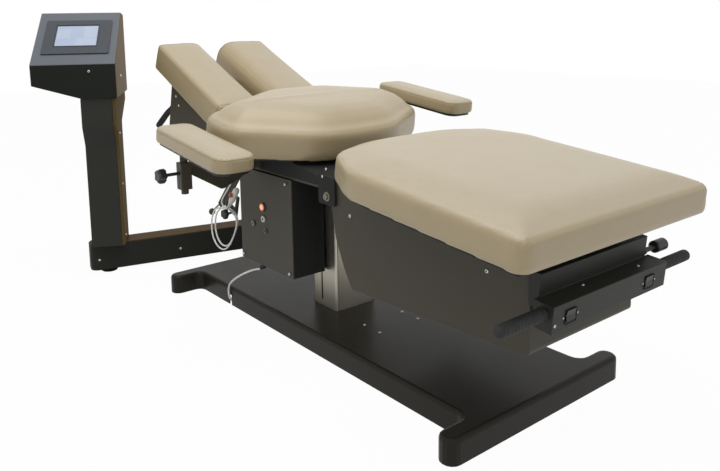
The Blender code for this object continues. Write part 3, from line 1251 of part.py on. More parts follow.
def armrest(name, sign, rest_x, rest_z, post_x):
    post_y = sign * POST_Y
    tilt = math.tan(REST_TILT)
    pad_low = rest_z - (REST_PAD + GAP + REST_BOARD) / math.cos(REST_TILT) - (post_x - rest_x) * tilt
    post_top = pad_low - REST_BOSS_DROP
    post = rod(f"armrest_post_{name}", (post_x, post_y, post_top - POST_LENGTH), (post_x, post_y, post_top),
               POST_RADIUS, "black_sheet", edge=EDGE / 2)
    turn = holder(f"armrest_swivel_{name}", (post_x, post_y, post_top + GAP))
    at = holder(f"armrest_holder_{name}", (rest_x - post_x, sign * REST_Y - post_y, rest_z - post_top - GAP),
                tilt=REST_TILT)
    at.parent = turn
    corners = oblong(REST_LENGTH / 2, REST_WIDTH / 2)
    cushion(f"armrest_pad_{name}", corners, REST_ROUND, REST_PAD, REST_CROWN, REST_ROUND, at)
    high = -REST_PAD - GAP
    outline = rounded(corners, REST_ROUND, REST_BOARD_MARGIN, 4)
    board = prism(f"armrest_board_{name}", outline, along_z, high - REST_BOARD, high, "black_plastic", at)
    boss_top = REST_BOSS_DROP + REST_BOARD / 2
    weld(board, rod("armrest_boss", (0, 0, 0), (0, 0, boss_top), REST_BOSS, parent=turn))
    return post


def armrest_bracket(name, sign, post_x):
    """The arm from the centre frame out to the post's collar: a bar on a web, with a foot plate."""
    inner = FRAME_SIDE + GAP
    outer = POST_Y
    half_bar = BRACKET_BAR / 2
    low_y, high_y = sorted((sign * inner, sign * outer))
    bracket = block(f"armrest_bracket_{name}", (post_x - half_bar, low_y, BRACKET_TOP - BRACKET_BAR_DEPTH),
                    (post_x + half_bar, high_y, BRACKET_TOP), "black_sheet")
    web = [(sign * inner, FRAME_BOTTOM + EDGE), (sign * BRACKET_TIP_Y, BRACKET_TIP_Z),
           (sign * (BRACKET_TIP_Y + BRACKET_WEB), BRACKET_TIP_Z), (sign * outer, BRACKET_TOP - BRACKET_BAR_DEPTH * 2),
           (sign * outer, BRACKET_TOP - EDGE), (sign * inner, BRACKET_TOP - EDGE)]
    weld(bracket, prism("bracket_web", web, along_x, post_x - BRACKET_WEB / 2, post_x + BRACKET_WEB / 2))
    foot_y = sorted((sign * inner, sign * (inner + 2 * SHEET)))
    weld(bracket, block("bracket_foot", (post_x - BRACKET_BAR, foot_y[0], FRAME_BOTTOM + EDGE),
                        (post_x + BRACKET_BAR, foot_y[1], BRACKET_TOP + EDGE)))
    side = COLLAR_SIDE / 2
    collar = prism("bracket_collar", rounded(oblong(side, side, (post_x, sign * POST_Y)), EDGE, 0.0, 2), along_z,
                   COLLAR_BOTTOM, COLLAR_TOP)
    weld(bracket, collar)
    bore = POST_RADIUS + PIN_CLEARANCE
    cut(bracket, rod("collar_bore", (post_x, sign * POST_Y, COLLAR_BOTTOM - OVERRUN),
                     (post_x, sign * POST_Y, COLLAR_TOP + OVERRUN), bore))
    start = sign * (POST_Y + side + GAP)
    knob_at = start + sign * CLAMP_STEM_LENGTH
    pivot = holder(f"clamp_pivot_{name}", (post_x, start, CLAMP_Z))
    knob = star_knob(f"clamp_knob_{name}", (0, knob_at - start, 0), (0, sign, 0), CLAMP_KNOB, CLAMP_KNOB_DEPTH,
                     "black_plastic", pivot)
    weld(knob, rod("clamp_stem", (0, 0, 0), (0, knob_at - start + sign * EDGE, 0), CLAMP_STEM, parent=pivot,
                   segments=16))


# Mains lead


def coil_points():
    """A coil in two layers: in along a spiral, up in the half turn where it reverses, and out again."""
    turns_in, climb, turns_out = 3.5, 0.5, 3.25
    low = LEAD_FLOOR + LEAD_DIAMETER / 2
    plug_height = LEAD_FLOOR + PLUG_RADIUS
    total = turns_in + climb + turns_out
    inner = COIL_OUTER - COIL_PITCH * turns_in
    points = [Vector((COIL_X - COIL_OUTER, COIL_Y - COIL_STRAIGHT, low))]
    for step in range(round(total * COIL_STEPS) + 1):
        turn = step / COIL_STEPS
        angle = math.pi - math.tau * turn
        if turn < turns_in:
            radius, height = COIL_OUTER - COIL_PITCH * turn, low
        elif turn < turns_in + climb:
            share = (turn - turns_in) / climb
            radius = inner - COIL_PITCH * 0.3 * math.sin(math.pi * share)
            height = low + COIL_LIFT * (1 - math.cos(math.pi * share)) / 2
        else:
            share = turn - turns_in - climb
            radius, height = inner + COIL_PITCH * share, low + COIL_LIFT
        rise = max(0.0, (turn - total + 0.5) / 0.5)
        height += (plug_height - low - COIL_LIFT) * (1 - math.cos(math.pi * rise)) / 2
        points.append(Vector((COIL_X + radius * math.cos(angle), COIL_Y + radius * math.sin(angle), height)))
    points.append(points[-1] + Vector((COIL_STRAIGHT, 0, 0)))
    return points


def least_gap(points, diameter, apart):
    """The least distance between turns of a cord, less its diameter."""
    least = min((here - there).length for index, here in enumerate(points) for there in points[index + apart:])
    return least - diameter


def mains_lead():
    tip = boot_start() + boot_direction() * (BOOT_LENGTH + GAP)
    route = [tip, tip + boot_direction() * LEAD_DIAMETER] + [Vector(point) for point in LEAD_ROUTE]
    coil = coil_points()
    route += [coil[0] - Vector((0, GAP + LEAD_DIAMETER, 0)), coil[0] - Vector((0, GAP, 0))]
    tube("mains_cord", smooth_route(route, LEAD_STEP_SHARE * LEAD_DIAMETER), LEAD_DIAMETER, 2, "white_cord")
    tube("mains_coil", coil, LEAD_DIAMETER, 1, "white_cord")
    print("least gap between the coil's turns, in mm:", round(least_gap(coil, LEAD_DIAMETER, COIL_STEPS // 2) * 1000, 2))
    mains_plug(coil[-1] + Vector((GAP, 0, 0)))


def mains_plug(at):
    profile = [(PLUG_TAIL_RADIUS * 0.8, 0), (PLUG_TAIL_RADIUS, PLUG_TAIL * 0.9), (PLUG_RADIUS * 0.7, PLUG_TAIL),
               (PLUG_RADIUS, PLUG_TAIL + EDGE * 3), (PLUG_RADIUS, PLUG_TAIL + PLUG_LENGTH)]
    plug = turned("mains_plug", profile, (1, 0, 0), at, "white_plastic")
    face = at.x + PLUG_TAIL + PLUG_LENGTH
    for side in (-1, 1):
        middle = at.y + side * BLADE_SPREAD
        weld(plug, block("plug_blade", (face - EDGE, middle - BLADE_THICKNESS / 2, at.z - BLADE_WIDTH / 2),
                         (face + BLADE_LENGTH, middle + BLADE_THICKNESS / 2, at.z + BLADE_WIDTH / 2)))
    low = at.z - PRONG_DROP
    weld(plug, rod("plug_prong", (face - EDGE, at.y, low), (face + BLADE_LENGTH, at.y, low), PRONG_RADIUS,
                   edge=EDGE / 4, segments=12))


def centre_on_outline():
    """Moves the whole table so that the origin is under the middle of its outline, the mains lead left out."""
    view = bpy.context.evaluated_depsgraph_get()
    low, high = Vector((math.inf, math.inf)), Vector((-math.inf, -math.inf))
    loose = ("mains_cord", "mains_coil", "mains_plug")
    for found in bpy.data.objects:
        if found.type != "MESH" or found.hide_render or found.name in loose:
            continue
        mesh = found.evaluated_get(view).data
        for vertex in mesh.vertices:
            point = found.matrix_world @ vertex.co
            low = Vector(map(min, low, point.xy))
            high = Vector(map(max, high, point.xy))
    shift = Vector((*(-(low + high) / 2), 0.0))
    for found in bpy.data.objects:
        if found.parent is None:
            found.location += shift
    print("moved by, in metres:", tuple(round(value, 5) for value in shift))


def build_table():
    clear_scene()
    base_cover()
    base_frame()
    glides()
    column_outer()
    arm_pivot()
    console_arm()
    console()
    lift_stage()
    centre_frame()
    control_box()
    mains_gland()
    hook()
    hand_switch()
    thorax()
    leg_section()
    head_section()
    for name, sign, rest_x, rest_z, post_x in (("near", -1, REST_NEAR_X, REST_NEAR_Z, POST_NEAR_X),
                                               ("far", 1, REST_FAR_X, REST_FAR_Z, POST_FAR_X)):
        armrest(name, sign, rest_x, rest_z, post_x)
        armrest_bracket(name, sign, post_x)
    mains_lead()
    centre_on_outline()


build_table()
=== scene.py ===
# %% [markdown]
# A treatment table stands on a flat black base. A lift column carries a short chest section, a long leg
# section that tilts and slides, a raised head section and two armrests, and a console stands at its head
# end on a swinging arm. The solid model already has every rigid part where it belongs, so this lesson only
# loads it and then gives it what a solid can't have: soft upholstery, cords, small fasteners and finishes.

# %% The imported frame
import json
import math

import bmesh
import bpy
import numpy as np
from mathutils import Matrix, Vector
from mathutils.kdtree import KDTree


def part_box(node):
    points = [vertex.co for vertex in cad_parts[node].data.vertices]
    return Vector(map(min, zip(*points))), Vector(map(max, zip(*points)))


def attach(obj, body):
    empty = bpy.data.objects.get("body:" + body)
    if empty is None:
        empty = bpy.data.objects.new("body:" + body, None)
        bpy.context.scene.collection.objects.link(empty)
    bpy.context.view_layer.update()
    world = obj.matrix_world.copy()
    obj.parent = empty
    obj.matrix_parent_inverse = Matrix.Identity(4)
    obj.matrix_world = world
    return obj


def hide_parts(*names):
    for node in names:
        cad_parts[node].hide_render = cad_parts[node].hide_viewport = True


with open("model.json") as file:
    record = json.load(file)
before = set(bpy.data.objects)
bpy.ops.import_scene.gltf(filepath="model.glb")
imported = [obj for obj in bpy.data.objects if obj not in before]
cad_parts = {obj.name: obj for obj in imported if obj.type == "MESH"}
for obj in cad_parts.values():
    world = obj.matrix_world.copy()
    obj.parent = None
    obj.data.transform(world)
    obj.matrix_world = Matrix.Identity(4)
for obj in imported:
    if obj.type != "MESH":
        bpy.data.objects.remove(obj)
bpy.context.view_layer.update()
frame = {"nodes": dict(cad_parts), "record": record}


def placed(name, data):
    """A new object in the scene, at its origin."""
    made = bpy.data.objects.new(name, data)
    bpy.context.scene.collection.objects.link(made)
    return made


# %% [markdown]
# Places below are measured as in the model's source, from the base's middle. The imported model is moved
# sideways from there, and the leg section's hinge pin tells by how much. Each section that leans or turns
# gets a matrix, so a detail is placed in the section's own directions and its matrix takes it to the table.
# The console's sloped face, which has the screen, gets one too, and STILL leaves a place as it is.

# %% Sections and their directions
HINGE_X, HINGE_Z = 0.105, 0.475
LEG_TILT = math.radians(5.82)
HEAD_TILT = math.radians(23.5)
THORAX_TILT = math.radians(9)
REST_TILT = math.radians(6.7)
CONSOLE_YAW = math.radians(-28)
ARM_YAW = math.radians(-13.3)

pin_low, pin_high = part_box("leg_hinge_pin")
SHIFT = Vector(((pin_low.x + pin_high.x) / 2 - HINGE_X, (pin_low.y + pin_high.y) / 2, 0.0))


def section(x, y, z, tilt=0.0, yaw=0.0):
    """The matrix of a section of the table: where its own zero is, its tilt about Y and its turn about Z."""
    place = Matrix.Translation(SHIFT + Vector((x, y, z)))
    return place @ Matrix.Rotation(yaw, 4, "Z") @ Matrix.Rotation(tilt, 4, "Y")


WHOLE = section(0, 0, 0)
LEG = section(HINGE_X, 0, HINGE_Z, tilt=LEG_TILT)
HEAD = section(-0.425, 0, 0.548, tilt=HEAD_TILT)
THORAX = section(-0.170, 0, 0.716, tilt=THORAX_TILT)
REST_NEAR = section(-0.120, -0.456, 0.642, tilt=REST_TILT)
REST_FAR = section(-0.190, 0.456, 0.705, tilt=REST_TILT)
CONSOLE = section(-1.0552, -0.4007, 0, yaw=CONSOLE_YAW)
ARM = section(-0.939, 0.172, 0, yaw=ARM_YAW)

HEAD_FRONT, HEAD_LIP = 0.1175, 0.812
HEAD_CREST, HEAD_TOP = -0.1425, 0.995
climb = Vector((HEAD_CREST - HEAD_FRONT, 0, HEAD_TOP - HEAD_LIP)).normalized()
outward = Vector((climb.z, 0, -climb.x))
slope = Matrix((Vector((0, 1, 0)), climb, outward)).transposed().to_4x4()
SLOPE = CONSOLE @ Matrix.Translation((HEAD_FRONT, 0, HEAD_LIP)) @ slope
STILL = Matrix.Identity(4)
OUT, BACK, FRONT, UP = (0, -1, 0), (0, 1, 0), (1, 0, 0), (0, 0, 1)
print("the model was moved by", tuple(round(v, 4) for v in SHIFT))

# %% [markdown]
# The camera comes first, because a cord's unseen length has to be where the camera doesn't look. The
# picture was taken from the foot end, a little above the cushions, with a moderate lens. Its upright lines
# stay nearly parallel while the horizon sits high in the frame, which a vertical shift of the lens gives.

# %% Camera
PHOTO_WIDTH, PHOTO_HEIGHT = 720, 471
SENSOR = 36.0
FOCAL_PIXELS = 742.45
MIDDLE_ROW = 125.0
EYE = Vector((1.72285, -1.38703, 0.96634))
HEADING = math.radians(51.073)
DIP = math.radians(8.308)
LEAN = math.radians(0.790)

forward = Vector((-math.sin(HEADING) * math.cos(DIP), math.cos(HEADING) * math.cos(DIP), -math.sin(DIP)))
across = Vector((math.cos(HEADING), math.sin(HEADING), 0))
down = forward.cross(across)
right = across * math.cos(LEAN) + down * math.sin(LEAN)
up = across * math.sin(LEAN) - down * math.cos(LEAN)
lens = bpy.data.cameras.new("camera")
lens.sensor_width = SENSOR
lens.lens = FOCAL_PIXELS / PHOTO_WIDTH * SENSOR
lens.shift_y = (MIDDLE_ROW - PHOTO_HEIGHT / 2) / PHOTO_WIDTH
camera = placed("camera", lens)
camera.matrix_world = Matrix.Translation(EYE + SHIFT) @ Matrix((right, up, -forward)).transposed().to_4x4()
bpy.context.scene.camera = camera
print("lens in mm:", round(lens.lens, 2))

# %% [markdown]
# A shader is often a small sum, such as one minus a mask. Wrapping a socket in a class that knows plus,
# minus and times lets the sum be written as one, and each operator adds its Math node. Everything else a
# material needs goes through one method that takes a node's type, its settings and what feeds its sockets.

# %% Shader helpers


class Term:
    """A node's output that can stand in a sum."""

    def __init__(self, finish, socket):
        self.finish = finish
        self.socket = socket

    def math(self, operation, first, second):
        return self.finish.node("ShaderNodeMath", {"operation": operation}, {0: first, 1: second})

    def __add__(self, other):
        return self.math("ADD", self, other)

    def __sub__(self, other):
        return self.math("SUBTRACT", self, other)

    def __rsub__(self, other):
        return self.math("SUBTRACT", other, self)

    def __mul__(self, other):
        return self.math("MULTIPLY", self, other)

    __radd__ = __add__
    __rmul__ = __mul__


class Finish:
    """One material: its nodes, its coordinates and its shader."""

    def __init__(self, name, **constants):
        self.material = bpy.data.materials.new(name)
        self.material.use_nodes = True
        self.tree = self.material.node_tree
        self.shader = self.tree.nodes["Principled BSDF"]
        for words, value in constants.items():
            self.shader.inputs[words.replace("_", " ")].default_value = value
        self.place = self.node("ShaderNodeTexCoord", output="Object")

    def feed(self, socket, value):
        if isinstance(value, Term):
            self.tree.links.new(value.socket, socket)
        elif isinstance(value, tuple) and len(value) < len(socket.default_value):
            socket.default_value = (*value, 1.0)
        else:
            socket.default_value = value

    def node(self, kind, settings=None, values=None, output=0):
        made = self.tree.nodes.new(kind)
        for key, value in (settings or {}).items():
            setattr(made, key, value)
        for key, value in (values or {}).items():
            self.feed(made.inputs[key], value)
        return Term(self, made.outputs[output])

    def stretched(self, scale):
        return self.node("ShaderNodeMapping", {}, {"Vector": self.place, "Scale": scale})

    def noise(self, scale, detail=2.0, at=None):
        values = {"Vector": at or self.place, "Scale": scale, "Detail": detail}
        return self.node("ShaderNodeTexNoise", {}, values, "Fac")

    def cells(self, scale, at=None):
        values = {"Vector": at or self.place, "Scale": scale}
        return self.node("ShaderNodeTexVoronoi", {"feature": "DISTANCE_TO_EDGE"}, values, "Distance")

    def between(self, value, low, high):
        """0 below low, 1 above high, and smooth from one to the other."""
        values = {"Value": value, "From Min": low, "From Max": high}
        return self.node("ShaderNodeMapRange", {"interpolation_type": "SMOOTHSTEP"}, values)

    def along(self, matrix, column):
        """How far a point lies from a matrix's place along one of its directions."""
        direction = matrix.to_3x3().col[column]
        values = {0: self.place, 1: tuple(direction)}
        reach = self.node("ShaderNodeVectorMath", {"operation": "DOT_PRODUCT"}, values, "Value")
        return reach - direction.dot(matrix.translation)

    def upward(self):
        """1 on faces that look up: where dust settles, and where painted light or a painted reflection goes.
        """
        normal = self.node("ShaderNodeNewGeometry", output="Normal")
        return self.between(self.node("ShaderNodeSeparateXYZ", {}, {0: normal}, "Z"), 0.55, 0.98)

    def mix(self, mask, first, second):
        return self.node("ShaderNodeMix", {"data_type": "RGBA"}, {0: mask, 6: first, 7: second}, 2)

    def bump(self, height, distance, strength, under=None):
        values = {"Height": height, "Distance": distance, "Strength": strength}
        if under:
            values["Normal"] = under
        return self.node("ShaderNodeBump", {}, values, "Normal")

    def done(self, **socket_shades):
        for words, value in socket_shades.items():
            self.feed(self.shader.inputs[words.replace("_", " ")], value)
        return self.material


def shade(colour, share):
    """A colour made lighter or darker by a share."""
    return tuple(min(channel * share, 1.0) for channel in colour)


# %% [markdown]
# The upholstery is a matt leather-look vinyl in a warm beige. Its face is pressed with small pebbles, so a
# Voronoi pattern gives the pebbles and their valleys, a finer one breaks them up, and slow noise lets the
# sheet lie a little unevenly over its foam. The valleys are a touch darker and rougher than the tops. Faces
# that look up are painted a little paler and greyer than the sides, as painted light and sheen from above.

# %% Vinyl


def vinyl(name, tone, soil):
    hide = Finish(name, Coat_Roughness=0.30, Specular_IOR_Level=0.5)
    warp = hide.node("ShaderNodeTexNoise", {}, {"Vector": hide.place, "Scale": 90.0}, "Color")
    bent = hide.node("ShaderNodeMix", {"data_type": "VECTOR"}, {0: 0.004, 4: hide.place, 5: warp}, 1)
    pebble = hide.between(hide.cells(420.0, at=bent), 0.02, 0.30)
    fine = hide.between(hide.cells(1150.0), 0.0, 0.35)
    cloud = hide.noise(5.0, 4.0)
    stain = hide.between(hide.noise(17.0, 5.0), 0.45, 0.75)
    tops = hide.mix(cloud, shade(tone, 0.94), shade(tone, 1.05))
    # Painted light: faces that look up are mixed towards a pale grey, standing in for light and sheen from
    # above.
    top_painted_light = hide.mix(hide.upward() * 0.30, tops, (0.50, 0.475, 0.425))
    stains_and_painted_top_light = hide.mix(stain * soil, top_painted_light, shade(tone, 0.90))
    colour = hide.mix(pebble, hide.mix(0.5, stains_and_painted_top_light, shade(tone, 0.80)), stains_and_painted_top_light)
    slack = hide.bump(hide.noise(9.0, 3.0), 0.0022, 0.6)
    grain = hide.bump(pebble * 0.7 + fine * 0.3, 0.00022, 0.55, slack)
    roughness = 0.46 - pebble * 0.07 + cloud * 0.08
    return hide.done(Base_Color=colour, Roughness=roughness, Coat_Weight=0.42 + cloud * 0.10, Normal=grain)


# %% [markdown]
# Folded sheet steel is powder coated: the paint melts into a fine orange peel with tiny specks, dust
# settles on the faces that look up, and hands and tools polish it unevenly. The same recipe with other
# numbers gives the glossier moulded base, the console's brown strip, and the swinging arm, whose top gets
# a painted brown reflection.

# %% Painted metal


def painted(name, tone, roughness, peel, dust, gloss=0.0, specular=0.2, top=None):
    paint = Finish(name, Coat_Roughness=0.16, Specular_IOR_Level=specular)
    cloud = paint.noise(3.2, 5.0)
    speck = paint.between(paint.noise(1500.0, 1.0), 0.60, 0.74)
    rub = paint.noise(9.0, 6.0, paint.stretched((1.0, 1.0, 3.0)))
    settled = paint.upward() * paint.between(paint.noise(38.0, 6.0), 0.35, 0.80)
    base = paint.mix(cloud, shade(tone, 0.92), shade(tone, 1.09))
    # A given top colour on faces that look up is a painted reflection, as on the arm's brown top.
    if top:
        base = paint.mix(paint.upward(), base, paint.mix(cloud, shade(top, 0.85), shade(top, 1.15)))
    flecked = paint.mix(speck * 0.30, base, shade(tone, 2.2))
    dust_and_top_reflection = paint.mix(settled * dust, flecked, (0.30, 0.28, 0.25))
    skin = paint.bump(paint.noise(420.0, 2.0) + speck * 0.3, peel, 0.6)
    wave = paint.bump(paint.noise(6.0, 2.0), peel * 4, 0.25, skin)
    matt = roughness - 0.03 + rub * 0.06 + settled * 0.04
    return paint.done(Base_Color=dust_and_top_reflection, Roughness=matt, Coat_Weight=gloss, Normal=wave)


# %% [markdown]
# The console's head is one folded shell in three colours: slate on the sloped face that carries the screen,
# black on its front and below, and brown on the side that the brown strip carries on from. How far a point
# lies along the head's own directions tells them apart, and since the coordinates are the object's, the
# colours stay put when the console turns.

# %% Paint of the console's head


def console_paint(name, slate, black, brown):
    paint = Finish(name, Specular_IOR_Level=0.03)
    to_side = paint.along(CONSOLE, 1)
    to_top = paint.along(SLOPE, 2)
    cloud = paint.noise(3.2, 5.0)
    peel = paint.noise(420.0, 2.0)
    grey = paint.mix(cloud, shade(slate, 0.92), shade(slate, 1.10))
    dark = paint.mix(cloud, shade(black, 0.90), shade(black, 1.12))
    warm = paint.mix(cloud, shade(brown, 0.88), shade(brown, 1.12))
    front = paint.mix(paint.between(to_top, -0.0024, -0.0008), dark, grey)
    colour = paint.mix(paint.between(to_side, 0.0762, 0.0774), front, warm)
    wave = paint.bump(paint.noise(6.0, 2.0), 0.0012, 0.25, paint.bump(peel, 0.00008, 0.6))
    return paint.done(Base_Color=colour, Roughness=0.40 + cloud * 0.10, Normal=wave)


# %% [markdown]
# Bare metal shows how it was made. An extrusion is drawn lengthways, so its lines run along the column, and
# noise that is squeezed in two directions and stretched in the third draws them. Turned and plated parts
# get the same noise unstretched and finer.

# %% Bare metal


def bare(name, tone, roughness, lines):
    metal = Finish(name, Metallic=1.0)
    drawn = metal.noise(1.0, 4.0, metal.stretched(lines))
    smudge = metal.noise(14.0, 5.0)
    colour = metal.mix(drawn, shade(tone, 0.82), shade(tone, 1.12))
    tinted = metal.mix(smudge * 0.4, colour, shade(tone, 0.70))
    return metal.done(Base_Color=tinted, Roughness=roughness + drawn * 0.12 + smudge * 0.08,
                      Normal=metal.bump(drawn, 0.00006, 0.5))


# %% [markdown]
# Moulded plastic and rubber have no grain of their own but copy the mould's: a fine spark texture. Rubber
# is duller and greyer where it has been handled. White plastic is a little yellow, and its tone varies in
# slow patches.

# %% Plastic and rubber


def moulded(name, tone, roughness, spark, handled, coat=0.0):
    plastic = Finish(name, Coat_Roughness=0.25, Coat_Weight=coat, Specular_IOR_Level=0.4)
    patch = plastic.noise(45.0, 4.0)
    pits = plastic.noise(900.0, 2.0)
    tops = plastic.mix(patch, shade(tone, 0.90), shade(tone, 1.10))
    colour = plastic.mix(plastic.between(patch, 0.45, 0.8) * handled, tops, shade(tone, 1.8))
    return plastic.done(Base_Color=colour, Roughness=roughness + pits * 0.10 - patch * 0.08,
                        Normal=plastic.bump(pits, spark, 0.6))


# %% [markdown]
# The lit parts are the screen and the orange button. Each gives off a little of its own colour, which is
# what the picture shows, and keeps a glossy cover that still reflects the room. The screen's own glow varies
# slightly in slow patches, and has fine rows.

# %% Lit plastic and glass


def lit(name, tone, strength, rows, roughness=0.12):
    pane = Finish(name, Emission_Strength=strength, Specular_IOR_Level=0.5)
    line = pane.between(pane.noise(1.0, 0.0, pane.stretched(rows)), 0.35, 0.65)
    patch = pane.noise(9.0, 2.0)
    glow = pane.mix(line, shade(tone, 0.95), shade(tone, 1.03))
    warm = pane.mix(patch * 0.35, glow, shade(tone, 1.12))
    return pane.done(Base_Color=pane.mix(patch, shade(tone, 0.30), shade(tone, 0.36)), Emission_Color=warm,
                     Roughness=roughness + patch * 0.06, Normal=pane.bump(pane.noise(25.0), 0.0002, 0.15))


# %% [markdown]
# Every finish is made once here and kept by the name of the model's material slot, with a few more for
# parts that only this scene has. Then each node of the model gets the finish of its slot, or one of its own
# where the picture shows it lighter or darker than the rest of its slot. The mesh isn't touched: only what
# fills its material slot changes.

# %% Finishes of the model's slots
BEIGE = (0.470, 0.375, 0.218)
FINISHES = {
    "tan_vinyl": vinyl("beige_vinyl", BEIGE, 0.35),
    "black_sheet": painted("charcoal_powder_coat", (0.070, 0.063, 0.045), 0.46, 0.00010, 0.03),
    "black_base": painted("black_moulded_base", (0.023, 0.020, 0.015), 0.36, 0.00005, 0.004, gloss=0.05,
                          specular=0.10),
    "grey_head": console_paint("console_paint", (0.168, 0.183, 0.203), (0.024, 0.026, 0.023),
                               (0.150, 0.095, 0.034)),
    "bronze_panel": painted("bronze_panel_paint", (0.125, 0.085, 0.034), 0.62, 0.00008, 0.0, specular=0.02),
    "dark_bezel": moulded("slate_bezel_plastic", (0.044, 0.050, 0.060), 0.44, 0.00004, 0.1),
    "screen_glass": lit("lit_screen", (0.45, 0.53, 0.68), 0.62, (900.0, 2.0, 2.0)),
    "aluminium": bare("drawn_aluminium", (0.53, 0.50, 0.42), 0.32, (900.0, 900.0, 5.0)),
    "bare_steel": bare("plated_steel", (0.72, 0.72, 0.70), 0.26, (700.0, 700.0, 700.0)),
    # The boards under the cushions get a near-black finish.
    "birch_ply": moulded("near_black_ply", (0.018, 0.017, 0.016), 0.62, 0.00030, 0.3),
    "black_plastic": moulded("black_plastic", (0.020, 0.020, 0.021), 0.42, 0.00006, 0.35),
    "black_rubber": moulded("black_rubber", (0.026, 0.026, 0.027), 0.74, 0.00012, 0.5),
    "orange_plastic": lit("lit_orange_cap", (0.98, 0.47, 0.24), 0.80, (300.0, 300.0, 300.0), 0.25),
    "white_plastic": moulded("white_plastic", (0.74, 0.73, 0.67), 0.38, 0.00004, 0.0, coat=0.15),
    "red_plastic": moulded("red_plastic", (0.42, 0.020, 0.028), 0.32, 0.00003, 0.0, coat=0.3),
    "white_cord": moulded("white_cord_jacket", (0.95, 0.94, 0.89), 0.40, 0.00008, 0.0, coat=0.3),
}
MORE = {
    # The seams' fold is painted darker than the vinyl: painted shade of the seam's crease.
    "seam": vinyl("beige_vinyl_fold", shade(BEIGE, 0.55), 0.2),
    "thread": moulded("beige_thread", shade(BEIGE, 0.78), 0.75, 0.00010, 0.0),
    # Dark slabs in the screws' key sockets and in the control box's socket, jack and key holes: painted shade
    # of those holes.
    "hole_shade": moulded("painted_hole_shade", (0.03, 0.03, 0.03), 0.50, 0.00004, 0.0),
    "pale": lit("screen_pale_tile", (0.49, 0.56, 0.69), 0.62, (2.0, 700.0, 2.0)),
    "deep": lit("screen_deep_tile", (0.43, 0.51, 0.67), 0.62, (700.0, 2.0, 2.0)),
    "amber": lit("lit_orange_ring", (0.50, 0.09, 0.02), 0.16, (300.0, 300.0, 300.0), 0.25),
    "dull": bare("dull_steel", (0.26, 0.24, 0.19), 0.48, (500.0, 500.0, 500.0)),
    "pillar": painted("black_pedestal_paint", (0.026, 0.027, 0.022), 0.46, 0.00010, 0.03, specular=0.22),
    # The arm's brown top is a painted reflection.
    "arm": painted("black_arm_paint", (0.034, 0.034, 0.030), 0.50, 0.00010, 0.02, specular=0.04,
                   top=(0.100, 0.060, 0.020)),
    "beam": painted("black_frame_paint", (0.024, 0.024, 0.021), 0.46, 0.00010, 0.05),
    "shell": painted("black_box_paint", (0.028, 0.030, 0.028), 0.50, 0.00010, 0.01, specular=0.08),
}
OWN = {"pedestal_cover": "pillar", "handle_box": "pillar", "arm_beam": "arm", "arm_pivot_plate": "arm",
       "base_frame": "beam", "control_box_shell": "shell", "centre_frame": "shell", "leg_frame": "shell"}
for part in frame["record"]["subparts"]:
    for place in frame["nodes"][part["node"]].material_slots:
        place.material = MORE.get(OWN.get(part["node"])) or FINISHES[part["material_slot"]]
print(len(FINISHES) + len(MORE), "finishes,", len(frame["nodes"]), "nodes dressed")

# %% [markdown]
# Small hard parts come from four shapes: a profile spun round an axis, a block with broken edges, a flat
# outline pushed to a thickness, and a flat frame with a hole. The last two are raised and get their upper
# rim in the same way. A list of such shapes, each with its matrix, becomes one piece.

# %% Shape helpers


def turned(profile, steps=24):
    """A closed shape spun from (radius, height) pairs that start and end on the axis."""
    shape = bmesh.new()
    line = [shape.verts.new((radius, 0.0, height)) for radius, height in profile]
    edges = [shape.edges.new(pair) for pair in zip(line, line[1:])]
    bmesh.ops.spin(shape, geom=line + edges, cent=(0, 0, 0), axis=(0, 0, 1), dvec=(0, 0, 0), angle=math.tau,
                   steps=steps, use_merge=True, use_duplicate=False)
    bmesh.ops.remove_doubles(shape, verts=shape.verts, dist=1e-6)
    bmesh.ops.recalc_face_normals(shape, faces=shape.faces)
    return shape


def break_edges(shape, edges, width):
    bmesh.ops.bevel(shape, geom=edges, offset=width, affect="EDGES", segments=2, profile=0.5, material=-1)


def block(low, high, edge):
    """A box from corner to corner with its edges broken."""
    shape = bmesh.new()
    low, high = Vector(low), Vector(high)
    bmesh.ops.create_cube(shape, size=1.0)
    bmesh.ops.scale(shape, vec=high - low, verts=shape.verts)
    bmesh.ops.translate(shape, vec=(low + high) / 2, verts=shape.verts)
    break_edges(shape, shape.edges[:], edge)
    return shape


def raised(shape, thickness, edge):
    """A flat shape pushed up to a thickness, with its upper rim broken."""
    made = bmesh.ops.extrude_face_region(shape, geom=shape.faces[:])["geom"]
    lifted = [item for item in made if isinstance(item, bmesh.types.BMVert)]
    bmesh.ops.translate(shape, vec=(0, 0, thickness), verts=lifted)
    if edge:
        rim = [item for item in shape.edges if all(vert in lifted for vert in item.verts)
               and item.calc_face_angle(0.0) > 1.0]
        break_edges(shape, rim, edge)
    bmesh.ops.recalc_face_normals(shape, faces=shape.faces)
    return shape


def slab(outline, thickness, edge=0.0):
    """A flat outline given a thickness."""
    shape = bmesh.new()
    shape.faces.new([shape.verts.new((x, y, 0.0)) for x, y in outline])
    return raised(shape, thickness, edge)


def surround(outline, wall, thickness, edge):
    """A flat frame with a hole of its own shape."""
    shape = bmesh.new()
    face = shape.faces.new([shape.verts.new((x, y, 0.0)) for x, y in outline])
    bmesh.ops.inset_region(shape, faces=[face], thickness=wall, use_boundary=True, use_even_offset=True)
    bmesh.ops.delete(shape, geom=[face], context="FACES_ONLY")
    return raised(shape, thickness, edge)


def rounded(low, high, radius, steps=4):
    """A rectangle's outline with round corners."""
    middles = ((high[0] - radius, high[1] - radius), (low[0] + radius, high[1] - radius),
               (low[0] + radius, low[1] + radius), (high[0] - radius, low[1] + radius))
    points = []
    for quarter, (x, y) in enumerate(middles):
        for step in range(steps + 1):
            angle = math.pi / 2 * (quarter + step / steps)
            points.append((x + radius * math.cos(angle), y + radius * math.sin(angle)))
    return points


